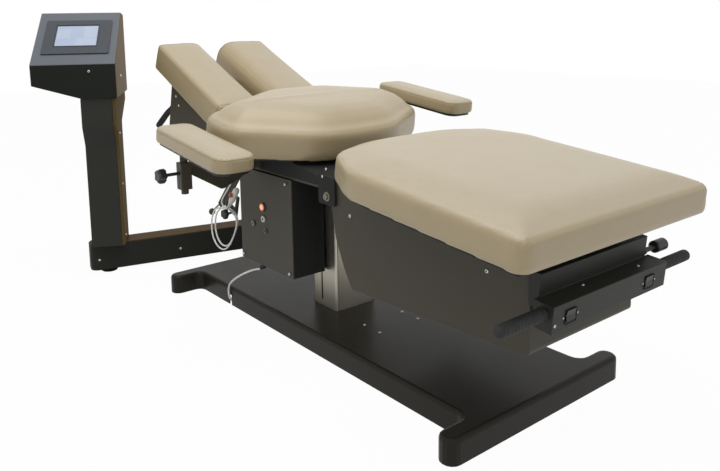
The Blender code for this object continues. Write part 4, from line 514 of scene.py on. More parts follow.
def hexagon(radius):
    return [(radius * math.cos(math.tau * k / 6), radius * math.sin(math.tau * k / 6)) for k in range(6)]


def facing(centre, axis):
    """The matrix that stands a shape's own upward direction along an axis."""
    turn = Vector(axis).to_track_quat("Z", "Y").to_matrix().to_4x4()
    return Matrix.Translation(Vector(centre)) @ turn


def make(name, parts, slot, body, at=WHOLE, finish=None, smooth=40.0):
    """Joins (shape, matrix) pairs into one piece, with its slot's finish or its own."""
    whole = bmesh.new()
    for shape, matrix in parts:
        bmesh.ops.transform(shape, matrix=at @ matrix, verts=shape.verts)
        carrier = bpy.data.meshes.new("carrier")
        shape.to_mesh(carrier)
        shape.free()
        whole.from_mesh(carrier)
        bpy.data.meshes.remove(carrier)
    mesh = bpy.data.meshes.new(name)
    whole.to_mesh(mesh)
    whole.free()
    mesh.shade_smooth()
    mesh.set_sharp_from_angle(angle=math.radians(smooth))
    mesh.materials.append(finish or FINISHES[slot])
    piece = placed(name, mesh)
    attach(piece, body)
    return piece


# %% [markdown]
# Two cords belong to the table. The mains lead comes out of a rubber boot under the control box, drops to
# the base, passes under its cover and ends in a neat coil behind the column, where the camera doesn't see
# it. The hand switch's cord comes out beside the box and hangs on its hook in two loops. A route is a few
# points that follow what the cord lies on, and a smooth curve through them gives the cord its even bends.

# %% Cords
GAP = 0.0003
LEAD_DIAMETER = 0.007
CORD_DIAMETER = 0.0055
GLAND = Vector((-0.262, -0.186, 0.1857))
GLAND_HEIGHT = 0.010
BOOT_LENGTH = 0.028
BOOT_PITCH = math.radians(32)
COIL_X, COIL_Y, COIL_OUTER = 0.056, 0.297, 0.056
COIL_PITCH, COIL_LIFT, COIL_STRAIGHT = 0.0080, 0.0076, 0.007
COIL_STEPS = 40
FLOOR_GAP = 0.0003
PLUG_RADIUS = 0.018
SWITCH_ROUTE = (
    (-0.3763, -0.1860, 0.470), (-0.383, -0.1860, 0.470), (-0.400, -0.1860, 0.464), (-0.447, -0.1855, 0.429),
    (-0.490, -0.1845, 0.388), (-0.525, -0.1840, 0.354), (-0.536, -0.1835, 0.336), (-0.528, -0.1830, 0.323),
    (-0.505, -0.1828, 0.321), (-0.467, -0.1828, 0.3205), (-0.438, -0.1830, 0.308), (-0.433, -0.1835, 0.284),
    (-0.452, -0.1840, 0.245), (-0.484, -0.1845, 0.203), (-0.520, -0.1850, 0.182), (-0.556, -0.1860, 0.187),
    (-0.580, -0.1870, 0.215), (-0.582, -0.1880, 0.258), (-0.562, -0.1888, 0.296), (-0.522, -0.1893, 0.318),
    (-0.468, -0.1897, 0.3210), (-0.434, -0.1900, 0.306), (-0.427, -0.1905, 0.279), (-0.446, -0.1915, 0.238),
    (-0.480, -0.1925, 0.194), (-0.522, -0.1935, 0.171), (-0.566, -0.1945, 0.178), (-0.593, -0.1955, 0.212),
    (-0.592, -0.1962, 0.262), (-0.566, -0.1968, 0.303), (-0.526, -0.1970, 0.320), (-0.488, -0.1970, 0.3215),
    (-0.4667, -0.1970, 0.3314), (-0.4623, -0.1970, 0.33665))
LEAD_ROUTE = (
    (-0.330, -0.190, 0.146), (-0.372, -0.194, 0.126), (-0.405, -0.200, 0.107), (-0.427, -0.2115, 0.089),
    (-0.4355, -0.2205, 0.074), (-0.437, -0.2245, 0.058), (-0.437, -0.2245, 0.044), (-0.437, -0.221, 0.027),
    (-0.436, -0.211, 0.0135), (-0.433, -0.194, 0.0062), (-0.424, -0.165, 0.0041), (-0.385, -0.090, 0.0040),
    (-0.290, 0.005, 0.0040), (-0.180, 0.075, 0.0040), (-0.080, 0.130, 0.0040), (-0.020, 0.190, 0.0040),
    (-0.001, 0.235, 0.0040))
boot_way = Vector((-math.cos(BOOT_PITCH), 0, -math.sin(BOOT_PITCH)))
boot_start = GLAND - Vector((0, 0, GLAND_HEIGHT * 0.75))


def smooth_route(route, spacing):
    """Evenly spaced points on a smooth curve through a route's own points, all but its first and last."""
    route = [Vector(point) for point in route]
    fine = []
    for before, start, end, after in zip(route, route[1:], route[2:], route[3:]):
        for step in range(40):
            t = step / 40
            fine.append(0.5 * (2 * start + (end - before) * t
                               + (2 * before - 5 * start + 4 * end - after) * t ** 2
                               + (3 * start - before - 3 * end + after) * t ** 3))
    fine.append(route[-2])
    count = max(2, round(sum((b - a).length for a, b in zip(fine, fine[1:])) / spacing))
    return [route[0], *even_points(fine, count), route[-1]]


def even_points(line, count):
    """The same line in equal steps."""
    reach = [0.0]
    for a, b in zip(line, line[1:]):
        reach.append(reach[-1] + (b - a).length)
    made, here = [], 0
    for step in range(count + 1):
        goal = reach[-1] * step / count
        while here < len(line) - 2 and reach[here + 1] < goal:
            here += 1
        span = reach[here + 1] - reach[here]
        made.append(line[here].lerp(line[here + 1], (goal - reach[here]) / span if span else 0.0))
    return made


def coil_points():
    """In along a spiral on the floor, up in the half turn where it reverses, and out again on top."""
    turns_in, climb, turns_out = 3.5, 0.5, 3.25
    low = FLOOR_GAP + LEAD_DIAMETER / 2
    plug_height = FLOOR_GAP + PLUG_RADIUS
    total = turns_in + climb + turns_out
    inner = COIL_OUTER - COIL_PITCH * turns_in
    points = [Vector((COIL_X - COIL_OUTER, COIL_Y - COIL_STRAIGHT, low))]
    for step in range(round(total * COIL_STEPS) + 1):
        turn = step / COIL_STEPS
        angle = math.pi - math.tau * turn
        if turn < turns_in:
            radius, height = COIL_OUTER - COIL_PITCH * turn, low
        elif turn < turns_in + climb:
            share = (turn - turns_in) / climb
            radius = inner - COIL_PITCH * 0.3 * math.sin(math.pi * share)
            height = low + COIL_LIFT * (1 - math.cos(math.pi * share)) / 2
        else:
            share = turn - turns_in - climb
            radius, height = inner + COIL_PITCH * share, low + COIL_LIFT
        rise = max(0.0, (turn - total + 0.5) / 0.5)
        height += (plug_height - low - COIL_LIFT) * (1 - math.cos(math.pi * rise)) / 2
        points.append(Vector((COIL_X + radius * math.cos(angle), COIL_Y + radius * math.sin(angle), height)))
    points.append(points[-1] + Vector((COIL_STRAIGHT, 0, 0)))
    return points


def cord_curve(name, points, diameter, body):
    """A round cord along its points, with closed ends, and its length."""
    curve = bpy.data.curves.new(name, "CURVE")
    curve.dimensions = "3D"
    curve.bevel_depth = diameter / 2
    curve.bevel_resolution = 3
    curve.use_fill_caps = True
    line = curve.splines.new("POLY")
    line.points.add(len(points) - 1)
    for target, point in zip(line.points, points):
        target.co = (*(point + SHIFT), 1.0)
    line.use_smooth = True
    curve.materials.append(FINISHES["white_cord"])
    piece = placed(name, curve)
    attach(piece, body)
    length = sum((b - a).length for a, b in zip(points, points[1:]))
    print(name, "is", round(length, 3), "m long")
    return piece, round(length, 4)


lead_tip = boot_start + boot_way * (BOOT_LENGTH + GAP)
coil = coil_points()
lead_route = [lead_tip, lead_tip + boot_way * LEAD_DIAMETER, *LEAD_ROUTE]
lead_route += [coil[0] - Vector((0, LEAD_DIAMETER, 0)), coil[0]]
lead_points = smooth_route(lead_route, LEAD_DIAMETER) + coil[1:]
mains_lead, lead_length = cord_curve("mains_lead", lead_points, LEAD_DIAMETER, "base")
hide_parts("mains_cord", "mains_coil")
switch_points = smooth_route(SWITCH_ROUTE, CORD_DIAMETER)
switch_cord, switch_length = cord_curve("switch_cord", switch_points, CORD_DIAMETER, "lift")
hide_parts("pendant_cord")

# %% [markdown]
# A cord is gripped where it enters something. The boot under the box has moulded rings that let it bend
# evenly, the hand switch has a short tapered sleeve and a domed red cap over its button, and the moulded
# plug has finger ribs, two flat blades and an earth pin. Rings, sleeves and the cap are spun profiles.

# %% Plug, boot and sleeve
BLADE_LENGTH, BLADE_WIDTH, BLADE_THICKNESS, BLADE_SPREAD = 0.017, 0.0063, 0.0016, 0.0064
BLADE_ROOT, BLADE_EDGE = 0.002, 0.0005
PRONG_DROP, PRONG_RADIUS = 0.0085, 0.0024
PLUG_TAIL, PLUG_LENGTH = 0.026, 0.034
RIB_OUTER, RIB_INNER, RIB_PITCH = 0.0178, 0.0170, 0.0045
plug_profile = [(0, 0), (0.0050, 0), (0.0054, 0.003), (0.0048, 0.004), (0.0056, 0.007), (0.0050, 0.008),
                (0.0058, 0.011), (0.0052, 0.012), (0.0062, 0.016), (0.0064, PLUG_TAIL * 0.9),
                (0.0126, PLUG_TAIL), (0.0168, PLUG_TAIL + 0.003), (RIB_OUTER, PLUG_TAIL + 0.007)]
for rib in range(4):
    start = PLUG_TAIL + 0.010 + rib * RIB_PITCH
    plug_profile += [(RIB_OUTER, start), (RIB_INNER, start + 0.0008), (RIB_INNER, start + 0.0016),
                     (RIB_OUTER, start + 0.0024)]
plug_profile += [(0.0179, PLUG_TAIL + PLUG_LENGTH - 0.002), (RIB_INNER, PLUG_TAIL + PLUG_LENGTH),
                 (0, PLUG_TAIL + PLUG_LENGTH)]
plug_place = coil[-1] + Vector((GAP, 0, 0))
plug = make("mains_plug_body", [(turned(plug_profile, 32), facing(plug_place, (1, 0, 0)))],
            "white_plastic", "base")
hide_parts("mains_plug")
face = plug_place + Vector((PLUG_TAIL + PLUG_LENGTH, 0, 0))
blades = []
for side in (-1, 1):
    middle = face + Vector((0, side * BLADE_SPREAD, 0))
    half = Vector((0, BLADE_THICKNESS / 2, BLADE_WIDTH / 2))
    root = middle - half - Vector((BLADE_ROOT, 0, 0))
    tip = middle + half + Vector((BLADE_LENGTH, 0, 0))
    blades.append((block(root, tip, BLADE_EDGE), STILL))
prong_profile = [(0, -BLADE_ROOT), (PRONG_RADIUS, -BLADE_ROOT), (PRONG_RADIUS, 0.0155),
                 (0.0014, BLADE_LENGTH), (0, BLADE_LENGTH)]
blades.append((turned(prong_profile, 16), facing(face - Vector((0, 0, PRONG_DROP)), (1, 0, 0))))
plug_blades = make("mains_plug_blades", blades, "bare_steel", "base")

RING_START, RING_PITCH, RING_HALF = 0.006, 0.0036, 0.0009
RING_RADIUS, RING_TAPER, RING_DEPTH = 0.0086, 0.0005, 0.0006
rings = []
for step in range(6):
    height = RING_START + step * RING_PITCH
    radius = RING_RADIUS - step * RING_TAPER
    foot, top = height - RING_HALF, height + RING_HALF
    profile = [(0, foot), (radius - RING_DEPTH, foot), (radius, height), (radius - RING_DEPTH, top), (0, top)]
    rings.append((turned(profile, 20), facing(boot_start, boot_way)))
make("mains_boot_rings", rings, "black_rubber", "lift")
sleeve_way = (switch_points[-4] - switch_points[-2]).normalized()
sleeve_profile = [(0, -0.001), (0.0049, -0.001), (0.0046, 0.003), (0.0040, 0.003), (0.0044, 0.006),
                  (0.0038, 0.006), (0.0041, 0.009), (0.0031, 0.011), (0, 0.011)]
sleeve = make("switch_sleeve", [(turned(sleeve_profile, 20), facing(switch_points[-1], sleeve_way))],
              "white_plastic", "lift")
button_low, button_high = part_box("pendant_button")
button_middle = (button_low + button_high) / 2 - SHIFT
button_middle.y = button_low.y - SHIFT.y
cap_profile = [(0, 0), (0.0050, 0), (0.0085, 0.0016), (0.0090, 0.0030), (0.0078, 0.0048), (0.0045, 0.0060),
               (0, 0.0064)]
switch_cap = make("switch_cap", [(turned(cap_profile, 28), facing(button_middle, (0, -1, 0)))],
                  "red_plastic", "switch_plunger")
lead_points[0] + SHIFT
switch_points[0] + SHIFT

# %% [markdown]
# The cushions are cut foam wrapped in vinyl. A copy of the solid is made a little smaller, rebuilt from
# even squares, and then a cloth simulation blows it up from inside while its underside stays on its board,
# so that its faces swell and its edges stay held, as stretched vinyl does. How far a point may move is
# capped, because a cushion has close neighbours.

# %% Swelling a cushion
PRESSURE = 4.0
CLOTH_STEPS = 20
EVENING_PASSES = 60
SEAT_LEFT = 0.0004


def merged_copy(node, name):
    """A new object from a node's loose triangles, joined up and pointing outwards."""
    shape = bmesh.new()
    shape.from_mesh(frame["nodes"][node].data)
    bmesh.ops.remove_doubles(shape, verts=shape.verts, dist=1e-5)
    bmesh.ops.recalc_face_normals(shape, faces=shape.faces)
    mesh = bpy.data.meshes.new(name)
    shape.to_mesh(mesh)
    shape.free()
    return placed(name, mesh)


def settle(piece):
    """Applies whatever modifiers a piece has."""
    view = bpy.context.evaluated_depsgraph_get()
    mesh = bpy.data.meshes.new_from_object(piece.evaluated_get(view))
    piece.modifiers.clear()
    old, piece.data = piece.data, mesh
    mesh.name = piece.name
    bpy.data.meshes.remove(old)


def normals_of(piece):
    """Each point's own direction, read before any point is moved."""
    return [vert.normal.copy() for vert in piece.data.vertices]


def draw_in(piece, amount):
    for vert, way in zip(piece.data.vertices, normals_of(piece)):
        vert.co -= way * amount


def evened(piece, moves, passes):
    """Moves averaged with their neighbours' a number of times, so that a taut skin has no lumps."""
    pairs = np.array([edge.vertices for edge in piece.data.edges]).T
    count = len(moves)
    shares = np.bincount(np.concatenate(pairs), minlength=count)
    for _ in range(passes):
        for axis in range(3):
            column = moves[:, axis]
            total = sum(np.bincount(pairs[one], column[pairs[1 - one]], count) for one in (0, 1))
            moves[:, axis] = (column + total / shares) / 2
    return moves


def blow_up(piece, cap):
    """Cloth with pressure and no weight, whose points move no further than the cap."""
    rest = [vert.co.copy() for vert in piece.data.vertices]
    cloth = piece.modifiers.new("swell", "CLOTH")
    cloth.settings.quality = 4
    cloth.settings.use_pressure = True
    cloth.settings.uniform_pressure_force = PRESSURE
    cloth.settings.effector_weights.gravity = 0.0
    cloth.settings.vertex_group_mass = "seat"
    cloth.point_cache.frame_start, cloth.point_cache.frame_end = 1, CLOTH_STEPS
    for step in range(1, CLOTH_STEPS + 1):
        bpy.context.scene.frame_set(step)
    view = bpy.context.evaluated_depsgraph_get()
    swollen = [vert.co.copy() for vert in piece.evaluated_get(view).data.vertices]
    piece.modifiers.clear()
    bpy.context.scene.frame_set(1)
    moves = np.array([after - before for before, after in zip(rest, swollen)])
    lengths = np.linalg.norm(moves, axis=1)
    moves = evened(piece, moves * (cap / (cap + lengths))[:, None], EVENING_PASSES)
    for vert, before, move in zip(piece.data.vertices, rest, moves):
        vert.co = before + Vector(move)
    return float(lengths.max())


def swollen_pad(node, name, body, at, seat, voxel, cap):
    """A padded piece in place of its solid, in the space that the solid holds."""
    piece = merged_copy(node, name)
    tuck = cap * 0.4
    draw_in(piece, tuck)
    remesh = piece.modifiers.new("squares", "REMESH")
    remesh.mode = "VOXEL"
    remesh.voxel_size = voxel
    settle(piece)
    inverse = at.inverted()
    group = piece.vertex_groups.new(name="seat")
    height = [(inverse @ vert.co).z for vert in piece.data.vertices]
    group.add([index for index, z in enumerate(height) if z < seat + tuck], 1.0, "REPLACE")
    furthest = blow_up(piece, cap)
    print(name, "wanted to swell by", round(furthest * 1000, 1), "mm")
    down_way = at.to_3x3() @ Vector((0, 0, -1))
    for vert, z in zip(piece.data.vertices, height):
        if z < seat + tuck:
            vert.co += down_way * (tuck - SEAT_LEFT)
    soften = piece.modifiers.new("soften", "SMOOTH")
    soften.iterations = 2
    soften.factor = 0.5
    finer = piece.modifiers.new("finer", "SUBSURF")
    finer.levels = finer.render_levels = 1
    settle(piece)
    piece.data.materials.clear()
    piece.data.materials.append(FINISHES["tan_vinyl"])
    piece.data.shade_smooth()
    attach(piece, body)
    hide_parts(node)
    return piece


# %% [markdown]
# Seams come after the swelling, because rebuilding from squares wipes out anything finer than a square. The
# finished cushion is sliced where its panels meet, and the slice gives the seam's own line. The skin is
# drawn down along that line, small gathers are set where it goes round a corner, and a fold and a row of
# stitches are laid in. Hundreds of stitches are repeated, so each has only a few faces.

# %% Seams
SEAM_STEP, SEAM_WIDTH = 0.003, 0.0045
GATHER_PITCH, GATHER_WIDTH, GATHER_CLEAR, GATHER_REACH = 0.013, 0.016, 0.004, 0.045
FOLD_RADIUS = 0.0009
THREAD_RADIUS, STITCH_PITCH, STITCH_LENGTH, STITCH_RISE = 0.00042, 0.0065, 0.0042, 0.00005


def slice_line(piece, at, point, normal):
    """The longest closed line where a plane of a section cuts a piece."""
    shape = bmesh.new()
    shape.from_mesh(piece.data)
    origin = at @ Vector(point)
    facing_way = at.to_3x3() @ Vector(normal)
    cut = bmesh.ops.bisect_plane(shape, geom=shape.verts[:] + shape.edges[:] + shape.faces[:], dist=1e-7,
                                 plane_co=origin, plane_no=facing_way)["geom_cut"]
    # A dict keeps its order, so that a seam starts at the same place in every run.
    edges = dict.fromkeys(item for item in cut if isinstance(item, bmesh.types.BMEdge))
    loops = []
    while edges:
        edge = edges.popitem()[0]
        line, here = [edge.verts[0], edge.verts[1]], edge.verts[1]
        while True:
            step = next((item for item in here.link_edges if item in edges), None)
            if step is None:
                break
            del edges[step]
            here = step.other_vert(here)
            line.append(here)
        loops.append([vert.co.copy() for vert in line])
    shape.free()
    longest = max(loops, key=len)
    length = sum((b - a).length for a, b in zip(longest, longest[1:]))
    return even_points(longest, max(24, round(length / SEAM_STEP))), length


def draw_down(piece, line, depth, width, gather):
    """Pulls the skin in along a line, and gathers it where the line bends."""
    tree = KDTree(len(line))
    bend = []
    for index, point in enumerate(line):
        tree.insert(point, index)
        before, after = line[index - 6], line[(index + 6) % len(line)]
        bend.append(min(1.0, (point - before).angle(after - point, 0.0) / 0.5))
    tree.balance()
    for vert, way in zip(piece.data.vertices, normals_of(piece)):
        _, index, distance = tree.find(vert.co)
        if distance < GATHER_REACH:
            pull = depth * math.exp(-(distance / width) ** 2)
            fold = gather * bend[index] * math.sin(index * SEAM_STEP / GATHER_PITCH * math.tau)
            fade = math.exp(-(distance / GATHER_WIDTH) ** 2) * (1 - math.exp(-(distance / GATHER_CLEAR) ** 2))
            vert.co -= way * (pull + fold * fade)


def fold_tube(line, inward, steps=6):
    """A thin closed cord of folded vinyl along a seam."""
    corners = [(FOLD_RADIUS * math.cos(math.tau * k / steps), FOLD_RADIUS * math.sin(math.tau * k / steps))
               for k in range(steps)]
    shape = bmesh.new()
    count = len(line) - 1
    rows = []
    for index in range(count):
        way = (line[(index + 1) % count] - line[index - 1]).normalized()
        side = way.orthogonal().normalized() if index == 0 else (side - way * side.dot(way)).normalized()
        other = way.cross(side)
        middle = line[index] - inward[index]
        rows.append([shape.verts.new(middle + side * u + other * v) for u, v in corners])
    for index in range(count):
        for k in range(steps):
            here, there = rows[index], rows[(index + 1) % count]
            shape.faces.new((here[k], here[(k + 1) % steps], there[(k + 1) % steps], there[k]))
    bmesh.ops.recalc_face_normals(shape, faces=shape.faces)
    return shape


def surface_normals(piece, line):
    """The skin's own direction at each point of a line."""
    tree = KDTree(len(piece.data.vertices))
    for vert in piece.data.vertices:
        tree.insert(vert.co, vert.index)
    tree.balance()
    return [piece.data.vertices[tree.find(point)[1]].normal.copy() for point in line]


def stitched(piece, line):
    """A row of thread stitches along a line, half sunk in the skin."""
    count = max(8, round(len(line) * SEAM_STEP / STITCH_PITCH))
    spots = even_points(line, count)
    normals = surface_normals(piece, spots)
    parts = []
    for index in range(count):
        way = (spots[(index + 1) % count] - spots[index - 1]).normalized()
        shape = bmesh.new()
        bmesh.ops.create_cone(shape, cap_ends=True, segments=5, radius1=THREAD_RADIUS, radius2=THREAD_RADIUS,
                              depth=STITCH_LENGTH)
        parts.append((shape, facing(spots[index] + normals[index] * STITCH_RISE, way)))
    return parts


def seam(piece, at, point, normal, depth, gather, folds=None, threads=None, stitch_off=None):
    """One seam: the drawn line, and where stitches show beside it, its fold and the stitches."""
    line, length = slice_line(piece, at, point, normal)
    draw_down(piece, line, depth, SEAM_WIDTH, gather)
    if stitch_off:
        inward = [way * depth * 0.85 for way in surface_normals(piece, line)]
        folds.append((fold_tube(line, inward), STILL))
        near, _ = slice_line(piece, at, Vector(point) + Vector(normal) * stitch_off, normal)
        threads.extend(stitched(piece, near))
    print(piece.name, "has a seam of", round(length, 2), "m")


# %% The two large cushions
chest = swollen_pad("thoracic_cushion", "chest_pad", "lift", THORAX, -0.134, 0.008, 0.008)
legs = swollen_pad("leg_cushion", "leg_pad", "carriage", LEG, 0.100, 0.008, 0.007)
seam(chest, THORAX, (0, 0, -0.056), UP, 0.0007, 0.0011)
seam(legs, LEG, (0, 0, 0.163), UP, 0.0007, 0.0013)
for side in (-1, 1):
    corner = [LEG @ Vector((0.789, side * 0.350, 0.100 + SEAM_STEP * step)) for step in range(22)]
    draw_down(legs, corner, 0.0016, 0.0035, 0.0)

# %% [markdown]
# An armrest pad is small enough for its making to show: a top panel is sewn to a side strip, and the seam
# runs round just under the top's edge with a row of stitches below it. A head pad is sewn the same way at
# both ends.

# %% Armrest and head pads


def sewn(name, folds, threads, body):
    # The fold gets the darker vinyl, which is painted shade of the seam's crease.
    make(f"{name}_fold", folds, "tan_vinyl", body, STILL, MORE["seam"])
    make(f"{name}_stitches", threads, "tan_vinyl", body, STILL, MORE["thread"])


for side, body, at in (("near", "near_rest", REST_NEAR), ("far", "far_rest", REST_FAR)):
    pad = swollen_pad(f"armrest_pad_{side}", f"arm_pad_{side}", body, at, -0.040, 0.004, 0.0035)
    folds, threads = [], []
    seam(pad, at, (0, 0, -0.0105), UP, 0.0010, 0.0008, folds, threads, stitch_off=-0.0045)
    sewn(pad.name, folds, threads, body)
for side in ("near", "far"):
    pad = swollen_pad(f"head_pad_{side}", f"face_pad_{side}", "head", HEAD, 0.016, 0.005, 0.0045)
    folds, threads = [], []
    for x, way in ((-0.566, 1), (-0.089, -1)):
        seam(pad, HEAD, (x, 0, 0), (way, 0, 0), 0.0010, 0.0003, folds, threads, stitch_off=0.0045)
    sewn(pad.name, folds, threads, "head")

# %% [markdown]
# The covers are held by plated cap screws. Their heads are the bright dots in the picture, so each one is
# placed by it: a low dome with a six-sided socket. The socket's shade is painted: a dark hexagon sunk in a
# turned recess.
# Each group's screw heads are one piece, and their painted socket shade another.

# %% Screws


def cap_screw(radius, height):
    """A low-domed head with a recess for a key, standing on its own zero and rooted a little below."""
    recess = radius * 0.52
    profile = [(0, -0.0015), (radius * 0.8, -0.0015), (radius, 0), (radius, height * 0.35),
               (radius * 0.88, height * 0.75), (radius * 0.70, height), (recess, height),
               (recess * 0.92, height * 0.35), (0, height * 0.35)]
    return turned(profile, 20)


def painted_socket_shade(radius, height):
    """A dark six-sided slab in a screw's recess: the painted shade of its key socket."""
    return slab(hexagon(radius * 0.44), height * 0.5)


def screws(name, body, places, radius, height, at=WHOLE):
    """Screws at (place, axis) pairs of a section, and the painted shade in each one's key socket."""
    heads = [(cap_screw(radius, height), facing(place, axis)) for place, axis in places]
    make(f"{name}_screws", heads, "bare_steel", body, at)
    # Each dark hexagon is painted shade in a screw's key socket.
    holes = [(painted_socket_shade(radius, height), facing(place, axis)) for place, axis in places]
    make(f"{name}_sockets", holes, "black_plastic", body, at, MORE["hole_shade"])
    return len(places)


def both_sides(y, points):
    """The same (x, z) points on the near side and the far side, each with its outward axis."""
    return [((x, side * y, z), (0, side, 0)) for side in (-1, 1) for x, z in points]


BOX_FACE = -0.2043
count = screws("control_box", "lift", [((x, BOX_FACE, z), OUT) for x, z in
                                       ((-0.103, 0.475), (-0.361, 0.199), (-0.092, 0.199), (-0.361, 0.475))],
               0.0046, 0.0026)
count += screws("centre_frame", "lift", both_sides(0.2015, ((0.103, 0.552), (0.085, 0.528), (-0.30, 0.552))),
                0.0038, 0.0022)
count += screws("leg_housing", "leg", both_sides(0.1930, ((0.0948, -0.0288), (0.5784, -0.0049))),
                0.0050, 0.0028, LEG)
count += screws("head_frame", "head", both_sides(0.2150, ((-0.393, -0.0187), (-0.3625, -0.0404))),
                0.0046, 0.0026, HEAD)
count += screws("base", "base", [((x, side * 0.0750, 0.066), UP) for side in (-1, 1)
                                 for x in (0.1062, 0.1763)], 0.0040, 0.0022)
count += screws("console_arm", "arm", [((0.0485, y, 0.059), FRONT) for y in (-0.625, -0.317)],
                0.0046, 0.0026, ARM)
print(count, "screws")

# %% [markdown]
# The two hinge bolts of the leg section are larger. Each is a hexagonal head on a turned washer, so the
# head's outline has six corners and a chamfer, which the bevel gives.

# %% Hinge bolts


def washer(radius, thickness):
    rim = [(radius, 0), (radius, thickness * 0.7), (radius * 0.95, thickness)]
    return turned([(0, 0), *rim, (0, thickness)], 28)


PLATE_FACE = 0.2018
WASHER_RADIUS, WASHER_THICKNESS = 0.0135, 0.0016
HEAD_RADIUS, HEAD_HEIGHT = 0.0092, 0.0062
bolts = []
for side in (-1, 1):
    head = slab(hexagon(HEAD_RADIUS), HEAD_HEIGHT, HEAD_HEIGHT * 0.18)
    for shape, reach in ((washer(WASHER_RADIUS, WASHER_THICKNESS), PLATE_FACE),
                         (head, PLATE_FACE + WASHER_THICKNESS)):
        bolts.append((shape, facing((HINGE_X, side * reach, HINGE_Z), (0, side, 0))))
make("leg_hinge_bolts", bolts, "bare_steel", "lift", finish=MORE["dull"])

# %% [markdown]
# The control box's face carries the orange button in a ring of deeper orange, a white socket, a bare jack
# and a key switch. Rings are profiles that close on themselves before they are spun.

# %% Fittings of the control box


def ring(inner, outer, height):
    middle = (inner + outer) / 2
    return turned([(inner, 0), (inner, height * 0.7), (middle, height), (outer, height * 0.7), (outer, 0),
                   (inner, 0)], 36)


def fitting(shape, spot, face):
    """A shape on the control box's face, at an (x, z) spot and a face's own Y."""
    return shape, facing((spot[0], face, spot[1]), OUT)


BUTTON, SOCKET, JACK, KEY = (-0.237, 0.379), (-0.234, 0.341), (-0.296, 0.315), (-0.224, 0.304)
# The dark cores of the socket, the jack and the key's slot are painted shade of their holes.
socket_core = turned([(0, 0), (0.0039, 0), (0.0039, 0.0010), (0.0022, 0.0014), (0, 0.0014)], 20)
jack_core = turned([(0, 0), (0.0034, 0), (0.0034, 0.0006), (0, 0.0006)], 20)
key_slot = slab(rounded((-0.0011, -0.0042), (0.0011, 0.0042), 0.0008, 2), 0.0006)
cores = [fitting(socket_core, SOCKET, -0.2044), fitting(jack_core, JACK, -0.2032),
         fitting(key_slot, KEY, -0.2035)]
trim = [fitting(ring(0.0038, 0.0086, 0.0018), JACK, -0.2032),
        fitting(ring(0.0056, 0.0078, 0.0012), KEY, -0.2032)]
make("button_ring", [fitting(ring(0.0096, 0.0140, 0.0016), BUTTON, -0.2040)], "orange_plastic", "lift",
     finish=MORE["amber"])
make("socket_cores", cores, "black_plastic", "lift", finish=MORE["hole_shade"])
make("socket_ring", [fitting(ring(0.0050, 0.0092, 0.0014), SOCKET, -0.2049)], "white_plastic", "lift")
make("jack_and_key_rings", trim, "bare_steel", "lift", finish=MORE["dull"])

# %% [markdown]
# A grip is a rubber sleeve on a bar. Its outer end is rounded and it has shallow rings for the fingers,
# with a collar where it meets the box.

# %% Grips
GRIP_Z = -0.0285
GRIP_X = 0.748
GRIP_START, GRIP_END = 0.2153, 0.3551
GRIP_RADIUS = 0.0149
GROOVE, CREST = GRIP_RADIUS * 0.90, GRIP_RADIUS * 0.95
FIRST_FINGER, FINGER_PITCH = 0.012, 0.010
grip_profile = [(0, 0), (GRIP_RADIUS, 0), (GRIP_RADIUS, 0.006), (GRIP_RADIUS * 0.88, 0.008)]
for finger in range(11):
    start = FIRST_FINGER + finger * FINGER_PITCH
    grip_profile += [(GROOVE, start), (CREST, start + 0.0012), (CREST, start + 0.0070),
                     (GROOVE, start + 0.0082)]
reach = GRIP_END - GRIP_START
grip_profile += [(CREST, reach - 0.014), (GRIP_RADIUS * 0.93, reach - 0.006),
                 (GRIP_RADIUS * 0.78, reach - 0.0018), (GRIP_RADIUS * 0.5, reach), (0, reach)]
for side, sign in (("near", -1), ("far", 1)):
    place = facing((GRIP_X, sign * GRIP_START, GRIP_Z), (0, sign, 0))
    grip = make(f"rubber_grip_{side}", [(turned(grip_profile, 40), place)], "black_rubber", "leg", LEG,
                smooth=50)
    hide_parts(f"grip_{side}")

# %% [markdown]
# The head section's release lever has a soft sleeve on its lower part, thicker than the bar. The bar's
# lowest point and its direction place it.

# %% Lever sleeve
lever_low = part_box("head_lever")[0]
LEVER_RADIUS = 0.0085
lever_tip = lever_low + Vector((LEVER_RADIUS, LEVER_RADIUS, LEVER_RADIUS))
lever_way = -(HEAD.to_3x3() @ Vector((-0.35, -0.21, -0.91)).normalized())
sleeve_shape = [(0, -0.0110), (0.0060, -0.0098), (0.0098, -0.0055), (0.0112, 0), (0.0116, 0.030),
                (0.0110, 0.066), (0.0100, 0.082), (0.0086, 0.084), (0, 0.084)]
make("lever_sleeve", [(turned(sleeve_shape, 32), facing(lever_tip, lever_way))],
     "black_rubber", "head_release", STILL)

# %% [markdown]
# Each rocker switch sits in a small frame with a pale mark on either side, and three screws hold the box.
# The box's front looks towards the foot, along the leg section's own X.

# %% Rocker frames
BOX_FRONT = 0.7732
ROCKER_Z = -0.0372
FRAME_WALL, FRAME_HEIGHT, FRAME_EDGE = 0.0030, 0.0016, 0.0004
MARK_OFF = 0.0245
frame_outline = rounded((-0.0190, -0.0160), (0.0190, 0.0160), 0.003)
mark_profile = [(0, 0), (0.0021, 0), (0.0019, 0.0006), (0, 0.0006)]
turn_front = Matrix(((0, 0, 1), (1, 0, 0), (0, 1, 0))).to_4x4()
frames, marks = [], []
for y in (-0.155, 0.142):
    place = Matrix.Translation((BOX_FRONT, y, ROCKER_Z)) @ turn_front
    frames.append((surround(frame_outline, FRAME_WALL, FRAME_HEIGHT, FRAME_EDGE), place))
    for off in (-MARK_OFF, MARK_OFF):
        place = Matrix.Translation((BOX_FRONT, y + off, ROCKER_Z)) @ turn_front
        marks.append((turned(mark_profile, 16), place))
make("rocker_frames", frames, "black_plastic", "leg", LEG)
make("rocker_marks", marks, "white_plastic", "leg", LEG)
